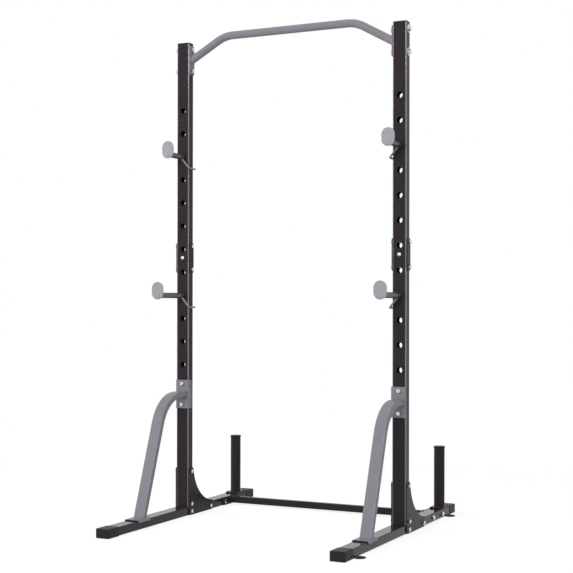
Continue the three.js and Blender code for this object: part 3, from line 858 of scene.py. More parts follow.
@dataclass(frozen=True)
class Bolt:
    """A through-bolt along Z, with a hexagon or a domed head, a nut and perhaps a washer."""

    shank: float
    head: float
    head_height: float
    nut: float
    nut_height: float = 8.0
    washer: float = 0.0
    washer_thickness: float = 2.0
    washer_play: float = 0.2
    washer_edge: float = 0.4
    domed: bool = False
    crown_share: float = 0.95
    chamfer: float = math.radians(30)
    blunt: float = 0.3
    tail: float = 2.5
    pitch: float = 1.5
    thread_depth: float = 0.8
    tip_chamfer: float = 1.2
    sunk: float = 0.2
    clearance: float = 0.35
    steps: int = 32

    def hole(self, y: float, z: float) -> np.ndarray:
        """The outline of its hole in a plate."""
        return circle(self.shank / 2 + self.clearance, HOLE_STEPS) + np.array([y, z])

    def shape(self, grip: float) -> Shape:
        """The underside of its head lies at Z = 0 and its nut past the grip.

        Args:
            grip: thickness that it clamps.

        Returns:
            The bolt with its washer and nut.
        """
        nut_start = grip + (self.washer_thickness if self.washer else 0.0)
        shape = self._dome() if self.domed else self._hexagon(self.head, -self.head_height, 0.0)
        if self.washer:
            bore = circle(self.shank / 2 + self.washer_play, self.steps)
            ring = plate(circle(self.washer / 2), [bore], self.washer_thickness, self.washer_edge)
            shape.join(ring.moved(at(z=grip)))
        nut_end = nut_start + self.nut_height
        shape.join(self._hexagon(self.nut, nut_start, nut_end, both_ends=True))
        return shape.join(self._shank(nut_start, nut_end + self.tail))

    def _dome(self) -> Shape:
        """A domed head: r = half its width times cos t, z = its height times -sin t.

        Returns:
            The head, from near its top, where t is steepest, down to its rim.
        """
        steepest, shallowest = 1.35, 0.15
        dome = np.linspace(steepest, shallowest, 8)
        curve = np.column_stack([self.head / 2 * np.cos(dome), -self.head_height * np.sin(dome)])
        return turned([(0.0, -self.head_height), *curve, (self.head / 2, 0.0), (0.0, 0.0)])

    def _hexagon(
        self, corner_width: float, low: float, high: float, both_ends: bool = False
    ) -> Shape:
        """A hexagon, r(t) = flat / cos(angle from the nearest flat), chamfered by a cone.

        Args:
            corner_width: width across corners.
            low, high: where it begins and ends on Z.
            both_ends: whether its high end is chamfered as its low end is.

        Returns:
            The hexagon about the Z axis.
        """
        steps, sixth = 72, FULL_TURN / 6
        flat = corner_width / 2 * math.cos(sixth / 2)
        turns = np.linspace(0, FULL_TURN, steps, endpoint=False)
        reach = flat / np.cos((turns + sixth / 2) % sixth - sixth / 2)
        unit = np.column_stack([np.cos(turns), np.sin(turns)])
        crown = flat * self.crown_share
        drop = (reach - crown) * math.tan(self.chamfer)
        outline = unit * reach[:, None]
        rings = [flat_ring(unit * crown, low), flat_ring(outline, low + drop)]
        if both_ends:
            rings += [flat_ring(outline, high - drop), flat_ring(unit * crown, high)]
        else:
            blunted = inset(outline, self.blunt)
            rings += [flat_ring(outline, high - self.blunt), flat_ring(blunted, high)]
        return Shape().loft(rings)

    def _shank(self, plain: float, end: float) -> Shape:
        """A turned shank: plain at first, then root and crest radii by turns at half pitches.

        Args:
            plain: where the thread begins on Z.
            end: where its chamfered tip lies on Z.

        Returns:
            The shank.
        """
        radius, halves = self.shank / 2, np.arange(2 * round((end - plain) / self.pitch) - 1)
        radii = radius - self.thread_depth * (halves % 2 == 0)
        thread = np.column_stack([radii, plain + halves * self.pitch / 2])
        smooth = [(0.0, -self.sunk), (radius, -self.sunk), (radius, plain)]
        tip = [(radius - self.tip_chamfer, end), (0.0, end)]
        return turned([*smooth, *thread, *tip], self.steps)


FRAME_BOLT = Bolt(shank=10.0, head=18.0, head_height=6.0, nut=19.0)
DOME_BOLT = Bolt(shank=10.0, head=17.0, head_height=5.0, nut=19.0, domed=True)
BAR_BOLT = Bolt(shank=12.0, head=21.0, head_height=7.0, nut=25.0, washer=33.0)


@dataclass(frozen=True)
class Fastening:
    """A bolt in its holes: where the underside of its head sits and where it points."""

    node: str
    bolt: Bolt
    start: Place
    along: Place
    grip: float
    spin: float

    @classmethod
    def across(
        cls,
        side: Side,
        name: str,
        bolt: Bolt,
        plates: tuple[float, float],
        y: float,
        z: float,
        spin: float,
    ) -> "Fastening":
        """A bolt through an upright or base tube along X, its head inside and its nut outside.

        Args:
            side: side of the rack.
            name: name of the bolt without its side.
            bolt: its kind.
            plates: thickness of the plates under its head and under its nut.
            y, z: its place.
            spin: how far its hexagons are turned, in radians.

        Returns:
            The bolt in its place.
        """
        head_face, nut_face = (
            PLATE_FACE + (FIT_GAP + under if under else 0.0) for under in plates
        )
        start = (side.plane + side.inner * head_face, y, z)
        return cls(side.named(name), bolt, start, (-side.inner, 0, 0), head_face + nut_face, spin)

    @classmethod
    def through(
        cls, side: Side, name: str, bolt: Bolt, under: float, z: float, spin: float
    ) -> "Fastening":
        """A bolt through an upright from the front to the back.

        Args:
            side: side of the rack.
            name: name of the bolt without its side.
            bolt: its kind.
            under: thickness of the plate under its head.
            z: its height.
            spin: how far its hexagons are turned, in radians.

        Returns:
            The bolt in its place.
        """
        head_face = FIT_GAP + (FIT_GAP + under if under else 0.0)
        grip = head_face + UPRIGHT.height + FIT_GAP
        return cls(side.named(name), bolt, (side.plane, -head_face, z), (0, 1, 0), grip, spin)

    def piece(self) -> bpy.types.Object:
        """Builds and dresses the bolt in its place.

        Returns:
            The finished piece.
        """
        turn = Vector(self.along).to_track_quat("Z", "X").to_matrix().to_4x4()
        place = at(*self.start) @ turn @ Matrix.Rotation(self.spin, 4, "Z")
        shape = self.bolt.shape(self.grip).moved(place)
        return finished(self.node, shape, Surface.ZINC, BOLT_CREASE)


def face_plate(
    outline: np.ndarray,
    holes: Sequence[np.ndarray],
    thickness: float,
    x: float,
    outward: int,
    y: float,
    z: float,
) -> Shape:
    """A plate outward of the face at x, its outlines seen from +X and drawn about (y, z)."""
    start = x if outward > 0 else x - thickness
    return plate(outline, holes, thickness).moved(at(start, y, z) @ TO_RIGHT)


# Sub-assemblies


@dataclass(frozen=True)
class Upright(SubAssembly):
    """One upright: its two lengths, with the pin holes through them, and its lid."""

    side: Side
    seam: float = 1120.0
    hole_edge: float = 0.8
    lid: float = 4.0
    lid_edge: float = 1.5
    plug: float = 17.5
    plug_play: float = 6.0
    plug_corner: float = 3.0
    plug_edge: float = 0.5
    hole_steps: int = 40
    corner_steps: int = TUBE_CORNER_STEPS
    smallest_corner_face: float = 1e-4

    def pieces(self) -> Iterator[bpy.types.Object]:
        """The lower length, the upper length and the lid."""
        place = at(self.side.plane, UPRIGHT_MIDDLE)
        ends = {
            "lower": (BASE_TOP + FIT_GAP, self.seam),
            "upper": (self.seam + FIT_GAP, UPRIGHT_TOP),
        }
        for word, (bottom, top) in ends.items():
            shape = self.length(bottom, top).moved(place)
            tube = finished(self.side.named(f"{word}_upright"), shape, Surface.BLACK_POWDER)
            # The rounded corners of the tube get a light grey painted highlight.
            self.paint_corner_highlights(tube)
            yield tube
        shape = self.cap().moved(place @ at(z=UPRIGHT_TOP + FIT_GAP))
        yield finished(self.side.named("upright_cap"), shape, Surface.PLASTIC)

    def length(self, bottom: float, top: float) -> Shape:
        """A tube about the Z axis: outer skin, bore, end rims and the walls of its pin holes.

        Args:
            bottom, top: its ends.

        Returns:
            The tube.
        """
        heights = [z for z in PIN_HEIGHTS if bottom < z < top]
        shape = self._skin(UPRIGHT.outside, PIN_HOLE / 2 + self.hole_edge, bottom, top, heights)
        shape.join(self._skin(UPRIGHT.bore, PIN_HOLE / 2, bottom, top, heights))
        skins = (UPRIGHT.outside, UPRIGHT.bore)
        rims = [rounded_rectangle(*sizes, self.corner_steps) for sizes in skins]
        for level in (bottom, top):
            shape.loft([flat_ring(rim, level) for rim in rims], caps=False)
        for height in heights:
            for wall in BOTH:
                shape.join(self._hole_wall(height, wall))
        return shape

    def _skin(
        self,
        sizes: tuple[float, float, float],
        radius: float,
        bottom: float,
        top: float,
        heights: Sequence[float],
    ) -> Shape:
        """Four flat faces and four quarter-round corners; the front and rear faces have holes.

        Args:
            sizes: width, depth and corner radius of the skin.
            radius: radius of the holes in it.
            bottom, top: its ends.
            heights: heights of the holes.

        Returns:
            The skin.
        """
        width, depth, corner = sizes
        x, y, shape = width / 2 - corner, depth / 2 - corner, Shape()
        rectangle = np.array([(-x, bottom), (x, bottom), (x, top), (-x, top)])
        loops = [rectangle, *(self._hole(radius, height) for height in heights)]
        for wall in BOTH:
            shape.fill([standing_ring(loop, wall * depth / 2) for loop in loops])
        round_outline = rounded_rectangle(width, depth, corner, self.corner_steps)
        shape.add(*self._rounded_strips(round_outline, bottom, top))
        return shape

    def _hole(self, radius: float, height: float) -> np.ndarray:
        """The outline of a pin hole at a height."""
        return circle(radius, self.hole_steps) + np.array([0, height])

    def _rounded_strips(
        self, outline: np.ndarray, bottom: float, top: float
    ) -> tuple[np.ndarray, np.ndarray]:
        """The skin between two levels, without its front and rear faces: (outline, bottom or top).

        Args:
            outline: a rounded rectangle that starts on its right face.
            bottom, top: the levels.

        Returns:
            The points, and quads that join each point to the next and to those above.
        """
        count = len(outline)
        low = np.arange(count)
        flat_sides = (low == self.corner_steps) | (low == 3 * self.corner_steps + 2)
        low = low[~flat_sides]
        beside = (low + 1) % count
        quads = np.column_stack([low, beside, beside + count, low + count])
        return np.vstack([flat_ring(outline, bottom), flat_ring(outline, top)]), quads

    def _hole_wall(self, height: float, wall: int) -> Shape:
        """The inside of one pin hole: circles that narrow over its rounded edge, then the bore.

        Args:
            height: height of the hole.
            wall: -1 for the front wall, 1 for the rear wall.

        Returns:
            The inside.
        """
        insets, depths = rounded_over(self.hole_edge)
        radii = PIN_HOLE / 2 + np.append(depths, 0.0)
        backs = UPRIGHT.height / 2 - np.append(insets, UPRIGHT.wall)
        rings = [self._hole(radius, height) for radius in radii]
        return Shape().loft(
            [standing_ring(ring, wall * y) for ring, y in zip(rings, backs)], caps=False
        )

    def cap(self) -> Shape:
        """The lid on Z = 0, with the plug under it that fills the tube.

        Returns:
            The lid.
        """
        width, depth, corner = UPRIGHT.outside
        rim = rounded_rectangle(width, depth, corner, self.corner_steps)
        mouth = rounded_rectangle(width - self.plug_play, depth - self.plug_play, self.plug_corner)
        plug = plate(mouth, [], self.plug + self.plug_edge, self.plug_edge)
        return plate(rim, [], self.lid, self.lid_edge).join(plug.moved(at(z=-self.plug)))

    def paint_corner_highlights(self, tube: bpy.types.Object) -> None:
        """Paints a highlight on the rounded corners of a tube: a light grey colour under a full
        clear coat.

        Args:
            tube: the finished tube; its corner faces are upright, oblique and long.
        """
        tube.data.materials.append(Surface.BLACK_EDGE.material())
        faces = tube.data.polygons
        normals, areas = np.empty(3 * len(faces)), np.empty(len(faces))
        corners = np.empty(len(faces), np.int32)
        faces.foreach_get("normal", normals)
        faces.foreach_get("area", areas)
        faces.foreach_get("loop_total", corners)
        x, y, z = np.abs(normals.reshape(-1, 3)).T
        upright, oblique = z < 0.01, np.minimum(x, y) > 0.05
        long = (corners == 4) & (areas > self.smallest_corner_face)
        faces.foreach_set("material_index", upright & oblique & long)


@dataclass(frozen=True)
class Splice(SubAssembly):
    """The two plates over the seam of an upright, and their bolts."""

    side: Side
    height: float = 1135.0
    plate: EndPlate = EndPlate(34.0, 132.0, 4.5, 8.0, bolts=102.0)

    def pieces(self) -> Iterator[bpy.types.Object]:
        """Both plates, the two bolts across them and the domed bolt between those."""
        flat = self.plate
        outline = rounded_rectangle(flat.width, flat.height, flat.corner)
        holes = [FRAME_BOLT.hole(0, sign * flat.bolts / 2) for sign in BOTH]
        for word, outward in (("inner", self.side.inner), ("outer", -self.side.inner)):
            x, y, z = self.side.plane + outward * PLATE_FACE, UPRIGHT_MIDDLE, self.height
            shape = face_plate(outline, holes, flat.thickness, x, outward, y, z)
            yield finished(self.side.named(f"splice_plate_{word}"), shape, Surface.BLACK_POWDER)
        under = (flat.thickness, flat.thickness)
        for word, sign, spin in (("upper", 1, 0.0), ("lower", -1, 0.7)):
            y, z, name = UPRIGHT_MIDDLE, self.height + sign * flat.bolts / 2, f"splice_bolt_{word}"
            yield Fastening.across(self.side, name, FRAME_BOLT, under, y, z, spin).piece()
        name = "splice_bolt_front"
        yield Fastening.through(self.side, name, DOME_BOLT, 0.0, self.height, spin=0.2).piece()


@dataclass(frozen=True)
class Gussets(SubAssembly):
    """The two plates that join the foot of an upright to its base tube, and their bolts."""

    side: Side
    thickness: float = 4.0
    bottom: float = 2.0
    rise: float = 210.0
    run: float = 212.0
    shoulder: float = 40.0
    corner: float = 6.0
    sweep_radius: float = 188.0
    sweep_centre: tuple[float, float] = (226.0, 232.0)
    bolts: tuple[tuple[str, float, float, float], ...] = (
        ("top", UPRIGHT_MIDDLE, 195.0, 1.4),
        ("middle", UPRIGHT_MIDDLE, 52.0, 1.75),
        ("foot", UPRIGHT_MIDDLE, BASE_MIDDLE, 2.1),
        ("rear", 191.0, BASE_MIDDLE, 2.45),
    )

    def pieces(self) -> Iterator[bpy.types.Object]:
        """Both plates and their four bolts."""
        holes = [FRAME_BOLT.hole(y, z) for _, y, z, _ in self.bolts]
        for word, outward in (("inner", self.side.inner), ("outer", -self.side.inner)):
            x = self.side.plane + outward * PLATE_FACE
            shape = face_plate(self.outline(), holes, self.thickness, x, outward, 0, 0)
            yield finished(self.side.named(f"gusset_{word}"), shape, Surface.BLACK_POWDER)
        under = (self.thickness, self.thickness)
        for word, y, z, spin in self.bolts:
            name = f"gusset_bolt_{word}"
            yield Fastening.across(self.side, name, FRAME_BOLT, under, y, z, spin).piece()

    def outline(self) -> np.ndarray:
        """Four rounded corners and one hollow sweep, seen from +X.

        Returns:
            The outline, from the front face of the upright to the rear bolt.
        """
        corner, (across, up) = self.corner, self.sweep_centre
        low = math.acos((self.run - across) / self.sweep_radius)
        high = math.acos((self.shoulder - across) / self.sweep_radius)
        return np.vstack([
            arc(corner, self.bottom + corner, corner, 2 * QUARTER, 3 * QUARTER),
            arc(self.run - corner, self.bottom + corner, corner, 3 * QUARTER, FULL_TURN),
            arc(across, up, self.sweep_radius, FULL_TURN - low, FULL_TURN - high, steps=32),
            arc(self.shoulder - corner, self.rise - corner, corner, 0, QUARTER),
            arc(corner, self.rise - corner, corner, QUARTER, 2 * QUARTER),
        ])


@dataclass(frozen=True)
class BaseTube(SubAssembly):
    """A base tube with its two floor ears and the beads that hold them."""

    side: Side
    cap_face: float = 5.3
    ear_radius: float = 25.0
    ear_offset: float = 41.0
    ear_thickness: float = 3.0
    ear_edge: float = 0.8
    ear_hole: float = 6.0
    ear_places: tuple[float, ...] = (-511.0, 514.0)
    bead_radius: float = 1.7
    bead_share: float = 0.94
    bead_steps: int = 90

    def pieces(self) -> Iterator[bpy.types.Object]:
        """The tube with its ears, one welded piece."""
        reach, x = BASE_LENGTH / 2 - self.cap_face, self.side.plane
        lying = Tube(BASE.height, BASE.width, BASE.wall, BASE.corner)
        line = Path.straight((x, -reach, BASE_MIDDLE), (x, reach, BASE_MIDDLE))
        shape = hollow_tube(lying, line, X)
        hole = circle(self.ear_hole, HOLE_STEPS)
        ear = plate(circle(self.ear_radius), [hole], self.ear_thickness, self.ear_edge)
        for y in self.ear_places:
            shape.join(ear.moved(at(x - self.side.inner * self.ear_offset, y)))
            shape.join(self.bead().moved(at(x - self.side.inner * BASE.width / 2, y)))
        yield finished(self.side.named("base_tube"), shape, Surface.SMOOTH_POWDER)

    def bead(self) -> Shape:
        """A straight bead along Y, nearly as long as the ear's chord at the side of the tube.

        Returns:
            The bead, centred on the chord.
        """
        half_chord = math.sqrt(self.ear_radius**2 - (self.ear_offset - BASE.width / 2) ** 2)
        reach, z = self.bead_share * half_chord, self.ear_thickness
        seam = np.linspace((0, -reach, z), (0, reach, z), self.bead_steps)
        return weld_bead(seam, self.bead_radius, closed=False)


class End(Enum):
    """One end of a base tube; its value is the sign of Y that points out of it."""

    FRONT = -1
    REAR = 1


@dataclass(frozen=True)
class FootCap(SubAssembly):
    """A ribbed shoe over one end of a base tube."""

    side: Side
    end: End
    length: float = 73.0
    skin: float = 1.5
    corner: float = 5.0
    inset_from_end: float = 2.0
    edge: float = 2.2
    lip: float = 1.2
    lip_inset: float = 0.5
    floor: float = 6.0
    ribs: int = 5
    rib_width: float = 6.4
    rib_share: float = 0.78
    rib_corner: float = 2.6
    rib_height: float = 2.6
    rib_edge: float = 1.0
    rib_sunk: float = 0.7

    def pieces(self) -> Iterator[bpy.types.Object]:
        """The shoe with its ribs."""
        grow = 2 * (self.skin + FIT_GAP)
        width, height = BASE.width + grow, BASE.height + grow
        face, outward = BASE_LENGTH / 2 - self.inset_from_end, self.end.value
        outline = rounded_rectangle(width, height, self.corner, TUBE_CORNER_STEPS)
        shape = self.shell(outline, face)
        pitch = (width - 2 * self.corner) / self.ribs
        bar = rounded_rectangle(self.rib_width, height * self.rib_share, self.rib_corner)
        rib = plate(bar, [], self.rib_height, self.rib_edge)
        turn = Matrix.Rotation(HALF_TURN if outward > 0 else 0.0, 4, "Z")
        for across in pitch * (np.arange(self.ribs) - (self.ribs - 1) / 2):
            shape.join(rib.moved(turn @ at(across, self.rib_sunk - face) @ TO_FRONT))
        place = at(self.side.plane, 0, BASE_MIDDLE)
        name = self.side.named(f"foot_cap_{self.end.name.lower()}")
        yield finished(name, shape.moved(place), Surface.RUBBER)

    def shell(self, outline: np.ndarray, face: float) -> Shape:
        """The outline carried from the face back to the lip and in again, inset at each station.

        Args:
            outline: outer outline of the shoe.
            face: distance of its face from the middle of the tube.

        Returns:
            The shell, open towards the tube.
        """
        insets, depths = rounded_over(self.edge, steps=4)
        mouth = face - self.length
        stations = [
            *zip(face - depths[::-1], insets[::-1]),
            (mouth + self.lip, 0.0),
            (mouth, self.lip_inset),
            (mouth, self.skin),
            (face - self.floor, self.skin),
        ]
        outward = self.end.value
        return Shape().loft(
            [standing_ring(inset(outline, inwards), outward * y) for y, inwards in stations]
        )


@dataclass(frozen=True)
class FrontBrace(SubAssembly):
    """A raked brace with its bracket, saddle and beads, the dark sheet under its saddle, and its
    bolts.
    """

    side: Side
    tube: Tube = Tube(25.0, 50.0, 2.0, 4.0)
    head_height: float = 535.0
    foot_y: float = -342.5
    knee_y: float = -162.5
    bend: float = 167.5
    bend_steps: int = 28
    bracket_height: float = 125.0
    bracket_thickness: float = 4.0
    bracket_flange: float = 22.0
    bracket_bolts: float = 91.0
    bracket_edge: float = 0.5
    bracket_chamfer: float = 0.8
    flange_round: float = 1.0
    saddle_ends: tuple[float, float] = (-405.0, -317.0)
    saddle_thickness: float = 3.2
    saddle_lip: float = 6.0
    under_sheet_thickness: float = 2.4
    under_sheet_lip: float = 8.0
    sheet_edge: float = 0.6

    @property
    def bracket_face(self) -> float:
        """Y of the bracket's front face, which the tube is welded to."""
        return -FIT_GAP - self.bracket_thickness

    @property
    def saddle_top(self) -> float:
        """Height of the face that the tube stands on."""
        return BASE_TOP + 2 * FIT_GAP + self.under_sheet_thickness + self.saddle_thickness

    @property
    def slope(self) -> float:
        """How far the raked tube runs back for each millimetre of height."""
        return (self.knee_y - self.foot_y) / (self.head_height - self.saddle_top)

    def pieces(self) -> Iterator[bpy.types.Object]:
        """The welded brace, the dark sheet under its saddle and the two bolts of its bracket."""
        place = at(self.side.plane)
        shape = self.bent_tube().join(self.bracket()).join(self.beads())
        clear = self.under_sheet_thickness + 2 * FIT_GAP
        shape.join(self.folded_over(clear, self.saddle_thickness, self.saddle_lip))
        yield finished(self.side.named("front_brace"), shape.moved(place), Surface.SILVER_POWDER)
        # A dark sheet folded under the saddle, which shows as a dark line below the saddle's front
        # edge.
        packing = self.folded_over(FIT_GAP, self.under_sheet_thickness, self.under_sheet_lip)
        yield finished(self.side.named("brace_packing"), packing.moved(place), Surface.RUBBER)
        under = self.bracket_thickness
        for word, sign, spin in (("upper", 1, 0.6), ("lower", -1, 1.0)):
            z, name = self.head_height + sign * self.bracket_bolts / 2, f"bracket_bolt_{word}"
            yield Fastening.through(self.side, name, FRAME_BOLT, under, z, spin).piece()

    def bent_tube(self) -> Shape:
        """The tube along its bent line; the points of its foot slide along the rake to one level.

        Returns:
            The tube, centred on X = 0.
        """
        level = self.saddle_top - WELDED_IN
        corners = [
            (0, self.bracket_face + WELDED_IN, self.head_height),
            (0, self.knee_y, self.head_height),
            (0, self.foot_y, self.saddle_top),
        ]
        shape = hollow_tube(self.tube, Path.bent(corners, self.bend, self.bend_steps), X)
        foot = shape.points[:, 2] < self.saddle_top + self.tube.width
        shape.points[foot, 1] -= (shape.points[foot, 2] - level) * self.slope
        shape.points[foot, 2] = level
        return shape

    def beads(self) -> Shape:
        """The beads round the tube where it meets its bracket and its saddle.

        Returns:
            Both beads, centred on X = 0.
        """
        width, height, corner = self.tube.height, self.tube.width, self.tube.corner
        neck = weld_round(rounded_rectangle(width, height, corner))
        footprint = rounded_rectangle(width, height * math.hypot(1, self.slope), corner)
        neck = neck.moved(at(y=self.bracket_face, z=self.head_height) @ TO_FRONT)
        return neck.join(weld_round(footprint).moved(at(0, self.foot_y, self.saddle_top)))

    def bracket(self) -> Shape:
        """The bent plate that wraps the front and the inner side of an upright.

        Returns:
            The bracket: its bent outline seen from above, as a thick plate.
        """
        half, outside = UPRIGHT.width / 2, PLATE_FACE + self.bracket_thickness
        front, flange, inner = self.bracket_face, self.bracket_flange, self.side.inner
        bend, end, chamfer = -front, self.flange_round, self.bracket_chamfer
        outline = np.vstack([
            [(-half + chamfer, front)],
            arc(outside - bend, front + bend, bend, -QUARTER, 0, steps=8),
            arc(outside - end, flange - end, end, 0, QUARTER, steps=4),
            [(PLATE_FACE, flange), (PLATE_FACE, -FIT_GAP)],
            [(-half, -FIT_GAP), (-half, front + chamfer)],
        ])
        outline = (outline * np.array([inner, 1.0]))[::inner]
        bracket = plate(outline, [], self.bracket_height, self.bracket_edge)
        return bracket.moved(at(z=self.head_height - self.bracket_height / 2))

    def folded_over(self, clear: float, thickness: float, lip: float) -> Shape:
        """Sheet folded over the top and both sides of a base tube: two outer and two inner arcs.

        Args:
            clear: gap between the sheet and the tube.
            thickness: thickness of the sheet.
            lip: how far it reaches down the sides.

        Returns:
            The sheet, centred on X = 0.
        """
        bend, bottom = BASE.corner + clear, BASE_TOP - lip
        outside = bend + thickness
        x, z = BASE.width / 2 - BASE.corner, BASE_TOP - BASE.corner
        outline = np.vstack([
            [(x + outside, bottom)],
            arc(x, z, outside, 0, QUARTER),
            arc(-x, z, outside, QUARTER, 2 * QUARTER),
            [(-x - outside, bottom), (-x - bend, bottom)],
            arc(-x, z, bend, 2 * QUARTER, QUARTER),
            arc(x, z, bend, QUARTER, 0),
            [(x + bend, bottom)],
        ])
        front, rear = self.saddle_ends
        return plate(outline, [], rear - front, self.sheet_edge).moved(at(y=rear) @ TO_FRONT)


@dataclass(frozen=True)
class Crossbar(SubAssembly):
    """The bar between the base tubes, with a plate and a bead at each end, and its bolts."""

    tube: Tube = Tube(25.0, 30.0, 2.5, 4.0)
    back: float = 386.0
    lift: float = 2.5
    plate: EndPlate = EndPlate(150.0, 36.0, 5.0, 6.0, bolts=120.0)

    def pieces(self) -> Iterator[bpy.types.Object]:
        """The welded bar and its four bolts."""
        flat, height = self.plate, BASE_MIDDLE + self.lift
        inside = INNER_FACE - flat.thickness + WELDED_IN
        line = Path.straight((-inside, self.back, height), (inside, self.back, height))
        shape = hollow_tube(self.tube, line, Z)
        outline = rounded_rectangle(flat.width, flat.height, flat.corner)
        holes = [FRAME_BOLT.hole(sign * flat.bolts / 2, 0) for sign in BOTH]
        bead = weld_round(rounded_rectangle(*self.tube.outside))
        for sign in BOTH:
            face, thick = sign * INNER_FACE, flat.thickness
            shape.join(face_plate(outline, holes, thick, face, -sign, self.back, BASE_MIDDLE))
            shape.join(bead.moved(at(face - sign * thick, self.back, height) @ TO_RIGHT))
        yield finished("crossbar", shape, Surface.BLACK_POWDER)
        for side in Side:
            for word, sign, spin in (("front", -1, 2.8), ("rear", 1, 3.15)):
                y, name = self.back + sign * flat.bolts / 2, f"crossbar_bolt_{word}"
                under = (flat.thickness, 0.0)
                yield Fastening.across(side, name, FRAME_BOLT, under, y, BASE_MIDDLE, spin).piece()


@dataclass(frozen=True)
class PullUpBar(SubAssembly):
    """The cranked bar between the uprights, with a plate and a bead at each end, and its bolts."""

    radius: float = 17.0
    height: float = 2098.0
    bend_x: float = 309.0
    bend: float = 150.0
    bend_steps: int = 24
    round_steps: int = 56
    plate_height: float = 2005.0
    plate: EndPlate = EndPlate(40.0, 128.0, 5.0, 8.0, bolts=94.0)
    bead_radius: float = 2.0
    bead_spread: float = 0.4

    @property
    def tip(self) -> float:
        """X of the bar's ends, in the middle of its plates."""
        return INNER_FACE - self.plate.thickness / 2

    @property
    def slope(self) -> float:
        """How far the bar's ends fall for each millimetre outwards."""
        return (self.height - self.plate_height) / (self.tip - self.bend_x)

    def pieces(self) -> Iterator[bpy.types.Object]:
        """The welded bar and its four bolts."""
        flat, shape = self.plate, self.bar()
        outline = rounded_rectangle(flat.width, flat.height, flat.corner)
        holes = [BAR_BOLT.hole(0, sign * flat.bolts / 2) for sign in BOTH]
        mouth = circle(self.radius + self.bead_spread) * np.array([1.0, math.hypot(1, self.slope)])
        bead = weld_round(mouth, self.bead_radius, spread=0.0)
        y, thick, under = UPRIGHT_MIDDLE, flat.thickness, (flat.thickness, 0.0)
        seam_height = self.plate_height + thick / 2 * self.slope
        for sign in BOTH:
            face = sign * INNER_FACE
            shape.join(face_plate(outline, holes, thick, face, -sign, y, self.plate_height))
            shape.join(bead.moved(at(face - sign * thick, y, seam_height) @ TO_RIGHT))
        yield finished("pull_up_bar", shape, Surface.SILVER_POWDER)
        for side in Side:
            for word, sign, spin in (("upper", 1, 0.35), ("lower", -1, 1.05)):
                z, name = self.plate_height + sign * flat.bolts / 2, f"pull_up_bolt_{word}"
                yield Fastening.across(side, name, BAR_BOLT, under, y, z, spin).piece()

    def bar(self) -> Shape:
        """A circle carried along the cranked line; its end rings slide along the bar to X = tip.

        Returns:
            The bar, cut off upright at both ends.
        """
        y, tip, knee = UPRIGHT_MIDDLE, (self.tip, self.plate_height), (self.bend_x, self.height)
        line = [(-x, y, z) for x, z in (tip, knee)] + [(x, y, z) for x, z in (knee, tip)]
        path = Path.bent(line, self.bend, self.bend_steps)
        rings = path.carry(circle(self.radius, self.round_steps), Y)
        for ring, sign in ((rings[0], -1), (rings[-1], 1)):
            ring[:, 2] -= sign * (sign * self.tip - ring[:, 0]) * self.slope
            ring[:, 0] = sign * self.tip
        return Shape().loft(rings)


